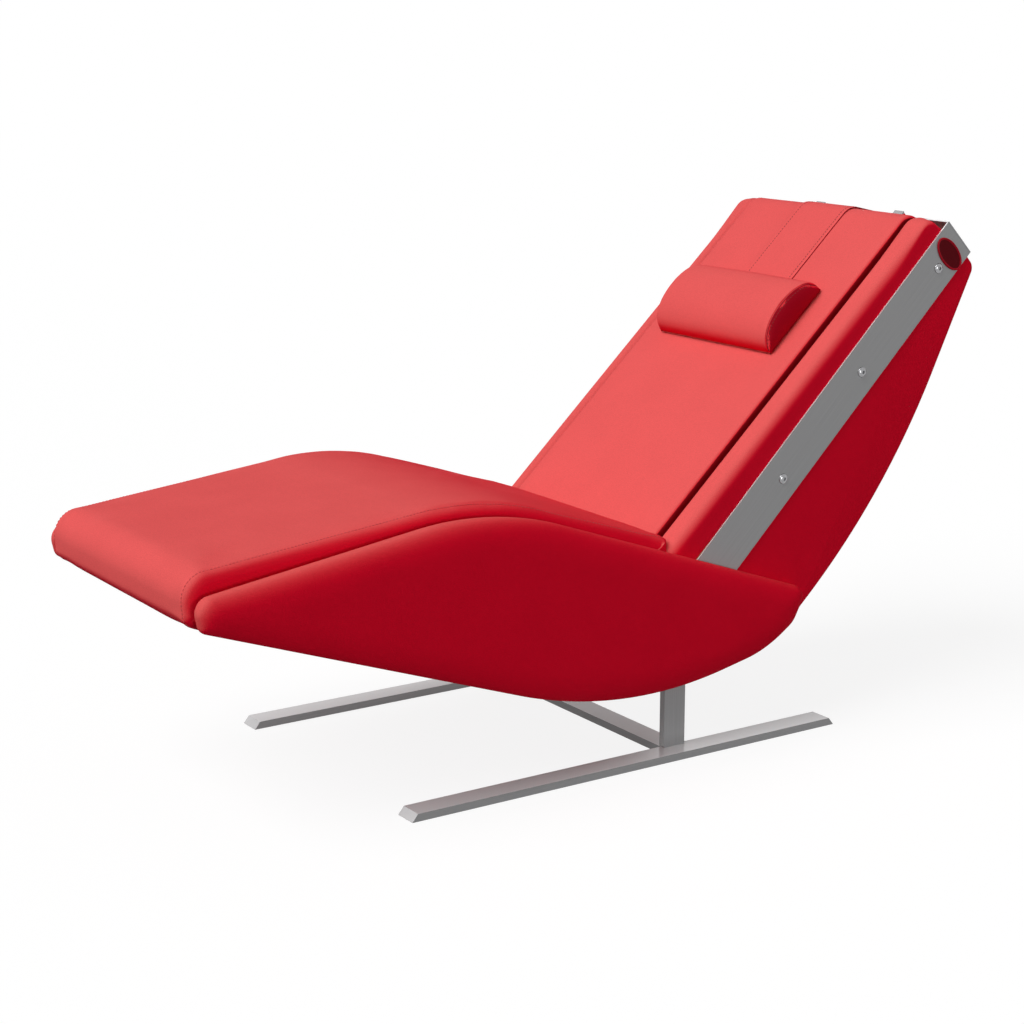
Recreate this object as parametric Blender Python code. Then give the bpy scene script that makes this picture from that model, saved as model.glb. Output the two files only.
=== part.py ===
"""Relaxation lounger with a reclining back, on a skid base of flat steel bar.

Metres, +Z up. +X points to the head end and -Y is the sitter's left. The origin is the
middle of the base crossbar's underside, so the floor is Z = 0.
"""

import math

import bmesh
import bpy
from mathutils import Vector

# Fits
FIT = 0.0003
RUN_GAP = 0.0020
FACET = 0.0004
SIDES = 32

# Base, welded from flat bar
BASE_WIDTH = 0.668
BAR_WIDTH = 0.050
BAR_THICK = 0.015
RAIL_TO_FOOT = 0.622
RAIL_TO_HEAD = 0.378
RAIL_BEVEL = 0.012
POST_TOP = 0.250
PLATE_THICK = 0.0055
PLATE_TO_FOOT = 0.222
PLATE_TO_HEAD = 0.040
PLATE_BOTTOM = 0.186
BEAM_SIZE = 0.040
BEAM_WALL = 0.003
BEAM_Z = 0.198

# Side panels: padded leather over a plywood board, with one outline in X and Z
PANEL_THICK = 0.0335
PANEL_EDGE = 0.016
PANEL_INNER_EDGE = 0.008
BOARD_THICK = 0.012
BOARD_MARGIN = 0.016
FOOT_X = -1.029
FOOT_TOP = 0.470
FOOT_BOTTOM = 0.4135
FOOT_RAKE = 0.012
FOOT_ROUND = 0.030
LIP_ROUND = 0.018
KNEE_X = -0.437
KNEE_Z = 0.5553
KNEE_ROUND = 0.640
BELLY_X = -0.142
BELLY_Z = 0.110
BELLY_ROUND = 0.900
TAIL_X = 0.206
TAIL_Z = 0.183
TAIL_ROUND = 0.260
REAR_X = 0.316
REAR_Z = 0.2913
REAR_ROUND = 0.030

# Seat cushion, deck and belly cover between the panels
CUSHION_GAP = 0.0125
CUSHION_THICK = 0.070
CUSHION_EDGE = 0.020
CUSHION_CROWN = 0.002
CUSHION_REACH = 0.014
CUSHION_NOSE = 0.056
CUSHION_LIP = 0.040
RISE_LIP = 0.0040
RISE_FOOT = 0.0410
RISE_KNEE = 0.0190
RISE_REAR = 0.0405
NOSE_DEPTH = 0.048
DECK_THICK = 0.012
DECK_SETBACK = 0.010
BELLY_RECESS = 0.008
BELLY_THICK = 0.010
BELLY_END = 0.150

# Back, in its own frame: s runs up the back and o out of its face, from the pivot
PIVOT_X = 0.058
PIVOT_Z = 0.3315
BACK_ANGLE = math.radians(42.94)
RECLINE = math.radians(24.0)
STRIP_LENGTH = 0.9107
PAD_SETBACK = 0.0177
BACK_TOP = STRIP_LENGTH - PAD_SETBACK
PAD_FACE = 0.1261
PAD_HALF = 0.243
PAD_EDGE = 0.012
PAD_CROWN = 0.003
PAD_TOP_ROUND = 0.050
PAD_NOSE_ANGLE = math.radians(38.0)
GROOVE = 0.003
BOLSTER_FACE = 0.1190
BOLSTER_FALL = 0.007
BOLSTER_INNER_EDGE = 0.006
BOLSTER_OUTER_EDGE = 0.014
BOLSTER_TOP_ROUND = 0.070
BOARD_FACE = 0.0488
BACK_BOARD_THICK = 0.015
BACK_BOARD_FOOT = -0.035
CHEEK_THICK = 0.012
CHEEK_FOOT = 0.020
SHELL_THICK = 0.012
SHELL_EDGE = 0.007
SHELL_SETBACK = 0.0072
SHELL_TOP = STRIP_LENGTH - SHELL_SETBACK
SHELL_TOP_O = -0.0567
SHELL_TOP_ROUND = 0.022
SHELL_BELLY_S = 0.4157
SHELL_BELLY_O = -0.2426
SHELL_BELLY_ROUND = 1.487
SHELL_FOOT_S = 0.1062
SHELL_FOOT_O = -0.2363
FLOOR_THICK = 0.010

# Steel strips that carry the back, in a frame splayed from the back's by a small angle
STRIP_SPLAY = math.radians(1.52)
STRIP_WIDTH = 0.093
STRIP_THICK = 0.003
SCREW_COUNT = 3
SCREW_FIRST = 0.274
SCREW_SETBACK = 0.0827
SCREW_OFFSET = -0.004
SCREW_HEAD = 0.0105
SCREW_DOME = 0.0045
SCREW_DOME_TURN = math.radians(83.0)
SCREW_SHANK = 0.004
BADGE_SETBACK = 0.0437
BADGE_OFFSET = -0.004
BADGE_HALF_LONG = 0.0425
BADGE_HALF_SHORT = 0.0232
BADGE_THICK = 0.0030
BADGE_RIM = 0.0045
BADGE_RECESS = 0.0012

# Pivot, lever and gas strut
PIN_RADIUS = 0.010
SHAFT_RADIUS = 0.0125
BUSH_WALL = 0.004
LEVER_LENGTH = 0.095
LEVER_THICK = 0.006
LEVER_EYE = 0.014
LEVER_HUB = 0.022
LEVER_PIN = 0.005
EYE_THICK = 0.012
EYE_HALF = 0.016
EYE_PLAY = 0.0006
STRUT_RADIUS = 0.012
STRUT_CAP = 0.030
ROD_RADIUS = 0.005
ROD_SHOWN = 0.170
ROD_INSIDE = 0.110
BRACKET_LENGTH = 0.020
BRACKET_HALF = 0.016
ANCHOR_RADIUS = 0.0125
ANCHOR_WALL = 0.002
ANCHOR_CLEAR = 0.0082

# Head pillow, its strap and counterweight, and the two hooks at the top
STRAP_HALF = 0.075
STRAP_THICK = 0.0025
STRAP_EDGE_ROUND = 0.004
STRAP_REAR_ROUND = 0.024
PILLOW_SETBACK = 0.421
PILLOW_FOOT = BACK_TOP - PILLOW_SETBACK
PILLOW_LENGTH = 0.178
PILLOW_HEIGHT = 0.063
PILLOW_HALF = 0.178
PILLOW_EDGE = 0.010
PILLOW_CROWN = 0.003
PILLOW_HEEL = 0.0089
PILLOW_HEEL_RISE = 0.0454
PILLOW_HEEL_ROUND = 0.0347
PILLOW_CREST = 0.0552
PILLOW_CREST_ROUND = 0.0504
WEIGHT_DROP = 0.075
WEIGHT_LENGTH = 0.100
WEIGHT_HOLD = 0.080
WEIGHT_THICK = 0.022
WEIGHT_ROUND = 0.008
WEIGHT_EDGE = 0.004
HOOK_Y = 0.123
HOOK_WIDTH = 0.027
HOOK_THICK = 0.003
HOOK_RISE = 0.024
HOOK_FOOT = 0.036
HOOK_SETBACK = 0.016
TAB_THICK = 0.0080
TAB_RISE = 0.020

# Places across the width, from the outer face of the panels inwards
PANEL_OUT = BASE_WIDTH / 2
PANEL_IN = PANEL_OUT - PANEL_THICK
STRIP_OUT = PANEL_IN - RUN_GAP
STRIP_IN = STRIP_OUT - STRIP_THICK
BACK_HALF = STRIP_IN - FIT
CUSHION_HALF = PANEL_IN - CUSHION_GAP
POST_OUT = PANEL_IN - PLATE_THICK - 2 * FIT
POST_IN = POST_OUT - BAR_THICK
RAIL_IN = PANEL_OUT - BAR_WIDTH

# Finishes: colour, roughness, metallic
LEATHER = ((0.78, 0.075, 0.085, 1), 0.45, 0.0)
STEEL = ((0.48, 0.48, 0.49, 1), 0.32, 1.0)
PLYWOOD = ((0.55, 0.38, 0.22, 1), 0.70, 0.0)
BRONZE = ((0.42, 0.28, 0.12, 1), 0.40, 1.0)
PAINTED = ((0.05, 0.05, 0.055, 1), 0.50, 0.0)

SIDE_SIGNS = {"left": -1, "right": 1}


# Outlines

def cross(first, second):
    """Turn from the first plane vector to the second."""
    return first[0] * second[1] - first[1] * second[0]


def meet(point, along, other, other_along):
    """Crossing of two lines in the plane."""
    share = cross(other - point, other_along) / cross(along, other_along)
    return point + along * share


def rounded(corners, closed=True):
    """Points along corners (a, b, radius), each filleted as far as its sides allow."""
    count = len(corners)
    places = [Vector(corner[:2]) for corner in corners]
    runs = [0.0] * count
    halves = [0.0] * count
    for i, (_, _, radius) in enumerate(corners):
        if radius == 0 or (not closed and i in (0, count - 1)):
            continue
        before = places[i - 1] - places[i]
        after = places[(i + 1) % count] - places[i]
        halves[i] = before.angle(after) / 2
        runs[i] = radius / math.tan(halves[i])
    limits = list(runs)
    for i in range(count if closed else count - 1):
        j = (i + 1) % count
        wanted = runs[i] + runs[j]
        room = 0.98 * (places[j] - places[i]).length
        if wanted > room:
            limits[i] = min(limits[i], runs[i] * room / wanted)
            limits[j] = min(limits[j], runs[j] * room / wanted)
    points = []
    for i, here in enumerate(places):
        if limits[i] == 0:
            points.append(here)
            continue
        before = (places[i - 1] - here).normalized()
        after = (places[(i + 1) % count] - here).normalized()
        radius = limits[i] * math.tan(halves[i])
        centre = here + (before + after).normalized() * radius / math.sin(halves[i])
        spoke = here + before * limits[i] - centre
        turn = math.copysign(math.pi - 2 * halves[i], cross(after, before))
        step = 2 * math.acos(1 - min(FACET / radius, 0.15))
        steps = max(2, math.ceil(abs(turn) / step))
        for k in range(steps + 1):
            angle = turn * k / steps
            cosine = math.cos(angle)
            sine = math.sin(angle)
            turned_spoke = (spoke.x * cosine - spoke.y * sine, spoke.x * sine + spoke.y * cosine)
            points.append(centre + Vector(turned_spoke))
    return points


def beside(corners, distance):
    """An open path moved to its left by a distance, with its radii kept concentric."""
    places = [Vector(corner[:2]) for corner in corners]
    runs = [(b - a).normalized() for a, b in zip(places, places[1:])]
    moved = [place + Vector((-run.y, run.x)) * distance for place, run in zip(places, runs)]
    path = [(moved[0].x, moved[0].y, 0)]
    for i in range(1, len(places) - 1):
        corner = meet(moved[i - 1], runs[i - 1], moved[i], runs[i])
        bend = math.copysign(distance, -cross(runs[i - 1], runs[i]) * distance)
        path.append((corner.x, corner.y, max(corners[i][2] + bend, 0.001)))
    last = places[-1] + Vector((-runs[-1].y, runs[-1].x)) * distance
    path.append((last.x, last.y, 0))
    return path


def cut_ends(corners, first=None, last=None):
    """An open path with its first or last point moved along its leg to a given a."""
    path = [Vector(corner[:2]) for corner in corners]
    upright = Vector((0, 1))
    if first is not None:
        path[0] = meet(path[0], path[1] - path[0], Vector((first, 0)), upright)
    if last is not None:
        path[-1] = meet(path[-1], path[-1] - path[-2], Vector((last, 0)), upright)
    return [(place.x, place.y, corner[2]) for place, corner in zip(path, corners)]


def inset(points, depth, weights=None):
    """A closed outline moved inwards, point by point, by depth times its weight."""
    area = sum(cross(a, b) for a, b in zip(points, points[1:] + points[:1]))
    inward = math.copysign(1, area)
    moved = []
    count = len(points)
    for i, here in enumerate(points):
        weight = 1 if weights is None else weights[i]
        before = (here - points[i - 1]).normalized()
        after = (points[(i + 1) % count] - here).normalized()
        normal = Vector((-before.y - after.y, before.x + after.x)) * inward
        normal /= max(1 + before.dot(after), 0.5)
        moved.append(here + normal * depth * weight)
    return moved


# Solids

def material_for(name, finish):
    """A Principled material of one piece."""
    colour, roughness, metallic = finish
    material = bpy.data.materials.new(name + "_finish")
    material.use_nodes = True
    shader = material.node_tree.nodes["Principled BSDF"]
    shader.inputs["Base Color"].default_value = colour
    shader.inputs["Roughness"].default_value = roughness
    shader.inputs["Metallic"].default_value = metallic
    return material


def loft(name, loops, finish, closed=False, parent=None, place=(0, 0, 0), tilt=0.0):
    """A solid through loops of points: capped at both ends, or closed into a ring."""
    shape = bmesh.new()
    rows = [[shape.verts.new(point) for point in loop] for loop in loops]
    count = len(loops[0])
    pairs = list(zip(rows, rows[1:]))
    if closed:
        pairs.append((rows[-1], rows[0]))
    else:
        shape.faces.new(rows[0])
        shape.faces.new(rows[-1])
    for lower, upper in pairs:
        for i in range(count):
            j = (i + 1) % count
            shape.faces.new((lower[i], lower[j], upper[j], upper[i]))
    bmesh.ops.recalc_face_normals(shape, faces=shape.faces)
    wide = [face for face in shape.faces if len(face.verts) > 4]
    bmesh.ops.triangulate(shape, faces=wide)
    mesh = bpy.data.meshes.new(name)
    shape.to_mesh(mesh)
    shape.free()
    mesh.shade_smooth()
    mesh.set_sharp_from_angle(angle=math.radians(32))
    piece = bpy.data.objects.new(name, mesh)
    piece.data.materials.append(material_for(name, finish))
    piece.parent = parent
    piece.location = place
    piece.rotation_euler = (0, tilt, 0)
    bpy.context.scene.collection.objects.link(piece)
    return piece


def slab(name, points, stations, finish, weights=None, **where):
    """A solid from one outline, swept across Y through stations (y, inward depth)."""
    loops = []
    for y, depth in stations:
        loops.append([(a, y, b) for a, b in inset(points, depth, weights)])
    return loft(name, loops, finish, **where)


def plate(name, points, y_from, y_to, finish, **where):
    """An outline of even thickness, from one Y to another."""
    return slab(name, points, [(y_from, 0), (y_to, 0)], finish, **where)


def box_outline(a_from, a_to, b_from, b_to, radius=0.0):
    """Rectangle with round corners."""
    corners = [(a_from, b_from), (a_to, b_from), (a_to, b_to), (a_from, b_to)]
    return rounded([(a, b, radius) for a, b in corners])


def turned(name, profile, finish, axis="Y", centre=(0, 0), closed=False, **where):
    """A round solid from its profile (place along the axis, radius)."""
    loops = []
    for along, radius in profile:
        ring = []
        for k in range(SIDES):
            angle = 2 * math.pi * (k + 0.5) / SIDES
            a = centre[0] + radius * math.cos(angle)
            b = centre[1] + radius * math.sin(angle)
            ring.append((a, along, b) if axis == "Y" else (along, a, b))
        loops.append(ring)
    return loft(name, loops, finish, closed=closed, **where)


def cut(piece, cutter):
    """Take a cutter's shape out of a piece, and keep the cutter as a guide."""
    cutter.hide_render = True
    cutter.display_type = "WIRE"
    change = piece.modifiers.new(cutter.name, "BOOLEAN")
    change.operation = "DIFFERENCE"
    change.solver = "EXACT"
    change.object = cutter


def drill(piece, name, radius, a, b, y_from, y_to, **where):
    """A round hole across a piece."""
    cut(piece, turned(name, [(y_from, radius), (y_to, radius)], PAINTED, centre=(a, b), **where))


def crowned(half, edge, crown, steps=4, spans=4):
    """Stations across a cushion: a low crown between two rounded edges."""
    flat = half - edge
    stations = []
    for k in range(-spans, spans + 1):
        share = k / spans
        stations.append((flat * share, crown * share ** 2))
    for k in range(1, steps + 1):
        angle = math.pi / 2 * k / steps
        y = flat + edge * math.sin(angle)
        depth = crown + edge * (1 - math.cos(angle))
        stations.append((y, depth))
        stations.insert(0, (-y, depth))
    return stations


# Base

def make_base():
    """Two skid rails, the crossbar, two posts, their side plates and the beam."""
    half = BAR_WIDTH / 2
    rail = [
        Vector((-RAIL_TO_FOOT, 0)),
        Vector((RAIL_TO_HEAD, 0)),
        Vector((RAIL_TO_HEAD - RAIL_BEVEL, BAR_THICK)),
        Vector((RAIL_BEVEL - RAIL_TO_FOOT, BAR_THICK)),
    ]
    plate_top = PIVOT_Z - STRIP_WIDTH / 2 - 2 * RUN_GAP
    side_plate = box_outline(-PLATE_TO_FOOT, PLATE_TO_HEAD, PLATE_BOTTOM, plate_top, RAIL_BEVEL)
    post = box_outline(-half, half, BAR_THICK + FIT, POST_TOP)
    for side, sign in SIDE_SIGNS.items():
        plate("rail_" + side, rail, sign * RAIL_IN, sign * PANEL_OUT, STEEL)
        plate("post_" + side, post, sign * POST_IN, sign * POST_OUT, STEEL)
        inner = sign * (POST_OUT + FIT)
        plate("side_plate_" + side, side_plate, inner, sign * (PANEL_IN - FIT), STEEL)
    reach = RAIL_IN - FIT
    plate("base_crossbar", box_outline(-half, half, 0, BAR_THICK), -reach, reach, STEEL)
    size = BEAM_SIZE / 2
    beam = box_outline(-size, size, BEAM_Z - size, BEAM_Z + size, BEAM_WALL)
    end = POST_IN - FIT
    walls = [(-end, 0), (end, 0), (end, BEAM_WALL), (-end, BEAM_WALL)]
    slab("seat_beam", beam, walls, PAINTED, closed=True)


# Side panels

def panel_outline():
    """Whale-shaped outline of a side panel, foot end first."""
    return rounded([
        (FOOT_X, FOOT_TOP, FOOT_ROUND),
        (FOOT_X + FOOT_RAKE, FOOT_BOTTOM, LIP_ROUND),
        (BELLY_X, BELLY_Z, BELLY_ROUND),
        (TAIL_X, TAIL_Z, TAIL_ROUND),
        (REAR_X, REAR_Z, REAR_ROUND),
        (KNEE_X, KNEE_Z, KNEE_ROUND),
    ])


def make_panels():
    """Plywood boards with the pivot bushes, each in the pocket of its leather pad."""
    outline = panel_outline()
    board = inset(outline, BOARD_MARGIN)
    bush_radius = PIN_RADIUS + BUSH_WALL
    bush_in = PANEL_IN + FIT
    bush_out = PANEL_IN + BOARD_THICK - FIT
    stations = [
        (PANEL_IN + BOARD_THICK + FIT, BOARD_MARGIN - FIT),
        (PANEL_IN, BOARD_MARGIN - FIT),
    ]
    for k in range(3):
        angle = math.pi / 4 * k
        y = PANEL_IN + PANEL_INNER_EDGE * (1 - math.cos(angle))
        stations.append((y, PANEL_INNER_EDGE * (1 - math.sin(angle))))
    for k in range(5):
        angle = math.pi / 8 * k
        y = PANEL_OUT - PANEL_EDGE * (1 - math.sin(angle))
        stations.append((y, PANEL_EDGE * (1 - math.cos(angle))))
    ring = [
        (bush_in, PIN_RADIUS + FIT),
        (bush_in, bush_radius),
        (bush_out, bush_radius),
        (bush_out, PIN_RADIUS + FIT),
    ]
    pivot = (PIVOT_X, PIVOT_Z)
    for side, sign in SIDE_SIGNS.items():
        piece = plate("side_board_" + side, board, sign * PANEL_IN, sign * (PANEL_IN + BOARD_THICK), PLYWOOD)
        hole_from = sign * (PANEL_IN - BOARD_THICK)
        hole_to = sign * (PANEL_IN + 2 * BOARD_THICK)
        drill(piece, "bush_hole_" + side, bush_radius + FIT, *pivot, hole_from, hole_to)
        slab("side_pad_" + side, outline, [(sign * y, depth) for y, depth in stations], LEATHER)
        profile = [(sign * y, radius) for y, radius in ring]
        turned("pivot_bush_" + side, profile, BRONZE, centre=pivot, closed=True)


# Seat

def seat_line():
    """Top of the seat cushion: foot rest, knee and seat, from the foot end."""
    return [
        (FOOT_X - CUSHION_REACH, FOOT_TOP + RISE_FOOT, 0),
        (KNEE_X, KNEE_Z + RISE_KNEE, KNEE_ROUND),
        (REAR_X, REAR_Z + RISE_REAR, 0),
    ]


def clear_of_back(point):
    """Distance of a point in front of the pad's face and of its round lower end."""
    arm = point - Vector((PIVOT_X, PIVOT_Z))
    s = arm.x * math.cos(BACK_ANGLE) + arm.y * math.sin(BACK_ANGLE)
    o = arm.y * math.cos(BACK_ANGLE) - arm.x * math.sin(BACK_ANGLE)
    return (o if s > 0 else arm.length) - PAD_FACE - RUN_GAP


def stop_at_back(start, end):
    """Where the line from start to end comes up to the back."""
    near = 0.0
    far = 1.0
    for _ in range(40):
        middle = (near + far) / 2
        if clear_of_back(start + (end - start) * middle) > 0:
            near = middle
        else:
            far = middle
    return start + (end - start) * near


def make_seat():
    """Deck, cushion with a rolled foot end, and the cover under the belly."""
    top = seat_line()
    under = beside(top, -CUSHION_THICK)
    deck_top = beside(top, -CUSHION_THICK - FIT)
    deck_under = beside(top, -CUSHION_THICK - FIT - DECK_THICK)
    deck_front = FOOT_X + NOSE_DEPTH
    knee = Vector(top[1][:2])
    under_knee = Vector(under[1][:2])
    rear_top = stop_at_back(knee, Vector(top[2][:2]))
    rear_under = stop_at_back(under_knee, Vector(under[2][:2]))
    deck_rear = rear_under.x - DECK_SETBACK
    belly = [
        (FOOT_X + FOOT_RAKE, FOOT_BOTTOM, 0),
        (BELLY_X, BELLY_Z, BELLY_ROUND),
        (TAIL_X, TAIL_Z, 0),
    ]
    lip = cut_ends(beside(belly, FIT), first=deck_front - FIT)[0]
    soft = rounded([
        (rear_top.x, rear_top.y, 0),
        (knee.x, knee.y, KNEE_ROUND),
        (top[0][0], top[0][1], CUSHION_NOSE),
        (FOOT_X - CUSHION_REACH + FOOT_RAKE / 2, FOOT_BOTTOM + RISE_LIP, CUSHION_LIP),
        lip,
    ], closed=False)
    first = cut_ends(under, first=deck_front - FIT)[0]
    firm = rounded([first, under[1], (rear_under.x, rear_under.y, 0)], closed=False)
    middle = stop_at_back((under_knee + knee) / 2, (rear_top + rear_under) / 2 + rear_top - knee)
    weights = []
    for point in soft:
        from_rear = min((point - rear_top).length / CUSHION_THICK, 1)
        from_lip = min((point - soft[-1]).length / NOSE_DEPTH, 1)
        weights.append(from_rear * from_lip)
    weights += [0] * (len(firm) + 1)
    stations = crowned(CUSHION_HALF, CUSHION_EDGE, CUSHION_CROWN)
    slab("seat_cushion", soft + firm + [middle], stations, LEATHER, weights=weights)
    inner = PANEL_IN - FIT
    upper = cut_ends(deck_top, first=deck_front, last=deck_rear)
    lower = cut_ends(deck_under, first=deck_front, last=deck_rear)
    deck = rounded(upper, closed=False) + rounded(lower[::-1], closed=False)
    plate("seat_deck", deck, -inner, inner, PLYWOOD)
    outer_skin = cut_ends(beside(belly, BELLY_RECESS), first=deck_front, last=BELLY_END)
    inner_skin = cut_ends(beside(belly, BELLY_RECESS + BELLY_THICK), first=deck_front, last=BELLY_END)
    skin = rounded(outer_skin, closed=False) + rounded(inner_skin[::-1], closed=False)
    cover = plate("belly_cover", skin, -inner, inner, LEATHER)
    slot = BAR_WIDTH / 2 + RUN_GAP
    for side, sign in SIDE_SIGNS.items():
        notch = box_outline(-slot, slot, BAR_THICK, PLATE_BOTTOM)
        y_from = sign * (POST_IN - RUN_GAP)
        cut(cover, plate("post_notch_" + side, notch, y_from, sign * PANEL_OUT, PAINTED))


# Recline mechanism

def make_mechanism(pivot):
    """Pivot shaft, lever plates and pin on the back; strut, rod and eye under the seat."""
    step = STRIP_IN - FIT
    pin_end = PANEL_IN + BOARD_THICK - FIT
    profile = [
        (-pin_end, PIN_RADIUS),
        (-step, PIN_RADIUS),
        (-step, SHAFT_RADIUS),
        (step, SHAFT_RADIUS),
        (step, PIN_RADIUS),
        (pin_end, PIN_RADIUS),
    ]
    turned("recline_shaft", profile, STEEL, parent=pivot)
    swing = RECLINE / 2
    arm_angle = swing - math.pi / 2 - BACK_ANGLE
    eye = Vector((math.cos(arm_angle), math.sin(arm_angle))) * LEVER_LENGTH
    side_way = Vector((-eye.y, eye.x)).normalized()
    lever = rounded([
        (*(side_way * LEVER_HUB - eye.normalized() * LEVER_HUB), LEVER_HUB),
        (*(side_way * LEVER_EYE + eye + eye.normalized() * LEVER_EYE), LEVER_EYE),
        (*(eye + eye.normalized() * LEVER_EYE - side_way * LEVER_EYE), LEVER_EYE),
        (*(-side_way * LEVER_HUB - eye.normalized() * LEVER_HUB), LEVER_HUB),
    ])
    inner = EYE_THICK / 2 + FIT
    outer = inner + LEVER_THICK
    for side, sign in SIDE_SIGNS.items():
        piece = plate("recline_lever_" + side, lever, sign * inner, sign * outer, STEEL, parent=pivot)
        ends = (0, sign * 2 * outer)
        drill(piece, "shaft_hole_" + side, SHAFT_RADIUS + FIT, 0, 0, *ends, parent=pivot)
        drill(piece, "pin_hole_" + side, LEVER_PIN + FIT, eye.x, eye.y, *ends, parent=pivot)
    pin = [(-outer, LEVER_PIN), (outer, LEVER_PIN)]
    turned("lever_pin", pin, STEEL, centre=eye, parent=pivot)

    pin_x = PIVOT_X + LEVER_LENGTH * math.sin(swing)
    pin_high = PIVOT_Z - LEVER_LENGTH * math.cos(swing)
    pin_low = PIVOT_Z - LEVER_LENGTH
    strut_z = (pin_high + pin_low) / 2
    rod_end = pin_x - EYE_HALF - FIT
    strut_rear = rod_end - ROD_SHOWN
    lip = Vector((FOOT_X + FOOT_RAKE, FOOT_BOTTOM))
    slope = (Vector((BELLY_X, BELLY_Z)) - lip).normalized()
    lift = BELLY_RECESS + BELLY_THICK + ANCHOR_CLEAR + ANCHOR_RADIUS
    above_belly = lip + Vector((-slope.y, slope.x)) * lift
    anchor_x = meet(above_belly, slope, Vector((0, strut_z)), Vector((1, 0))).x
    strut_front = anchor_x + ANCHOR_RADIUS + BRACKET_LENGTH + 2 * FIT
    strut_length = strut_rear - strut_front
    block = box_outline(-EYE_HALF, EYE_HALF, -EYE_HALF, EYE_HALF, LEVER_PIN)
    half = EYE_THICK / 2
    carriage = plate("strut_eye", block, -half, half, STEEL, place=(pin_x, 0, strut_z))
    slot_half = LEVER_PIN + EYE_PLAY
    slot_rise = slot_half + (pin_high - pin_low) / 2
    slot = box_outline(-slot_half, slot_half, -slot_rise, slot_rise, slot_half)
    cut(carriage, plate("eye_slot", slot, -EYE_THICK, EYE_THICK, PAINTED, place=(pin_x, 0, strut_z)))
    rod = [(-ROD_SHOWN - ROD_INSIDE, ROD_RADIUS), (0, ROD_RADIUS)]
    turned("strut_rod", rod, STEEL, axis="X", place=(rod_end, 0, strut_z))
    bore = ROD_RADIUS + FIT
    body = [
        (0, STRUT_RADIUS),
        (strut_length, STRUT_RADIUS),
        (strut_length, bore),
        (STRUT_CAP, bore),
    ]
    turned("strut_cylinder", body, PAINTED, axis="X", place=(strut_front, 0, strut_z))
    bracket = box_outline(0, BRACKET_LENGTH, -BRACKET_HALF, BRACKET_HALF, BEAM_WALL)
    bracket_x = anchor_x + ANCHOR_RADIUS + FIT
    plate("strut_bracket", bracket, -BRACKET_HALF, BRACKET_HALF, STEEL, place=(bracket_x, 0, strut_z))
    end = PANEL_IN - FIT
    bore = ANCHOR_RADIUS - ANCHOR_WALL
    tube = [(-end, ANCHOR_RADIUS), (end, ANCHOR_RADIUS), (end, bore), (-end, bore)]
    turned("strut_anchor_tube", tube, PAINTED, centre=(anchor_x, strut_z), closed=True)


# Back

def pad_outline(face, top_round):
    """Side view of a pad: round lower end about the pivot, flat face, round top."""
    base = BOARD_FACE + FIT
    root = base / math.cos(PAD_NOSE_ANGLE)
    nose = [Vector((-root * math.sin(PAD_NOSE_ANGLE), base))]
    spans = 4
    for k in range(spans + 1):
        angle = PAD_NOSE_ANGLE * (1 - k / spans)
        nose.append(Vector((-math.sin(angle), math.cos(angle))) * face)
    top = rounded([(0, face, 0), (BACK_TOP, face, top_round), (BACK_TOP, base, 0)], closed=False)
    points = nose + top[1:]
    weights = [0] + [1] * (len(points) - 2) + [0]
    return points, weights


def shell_path():
    """Rear skin of the back, from under the top plate down to its foot."""
    front = BOARD_FACE - BACK_BOARD_THICK - FIT
    return [
        (SHELL_TOP, front, 0),
        (SHELL_TOP, SHELL_TOP_O, SHELL_TOP_ROUND),
        (SHELL_BELLY_S, SHELL_BELLY_O, SHELL_BELLY_ROUND),
        (SHELL_FOOT_S, SHELL_FOOT_O, 0),
    ]


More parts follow.
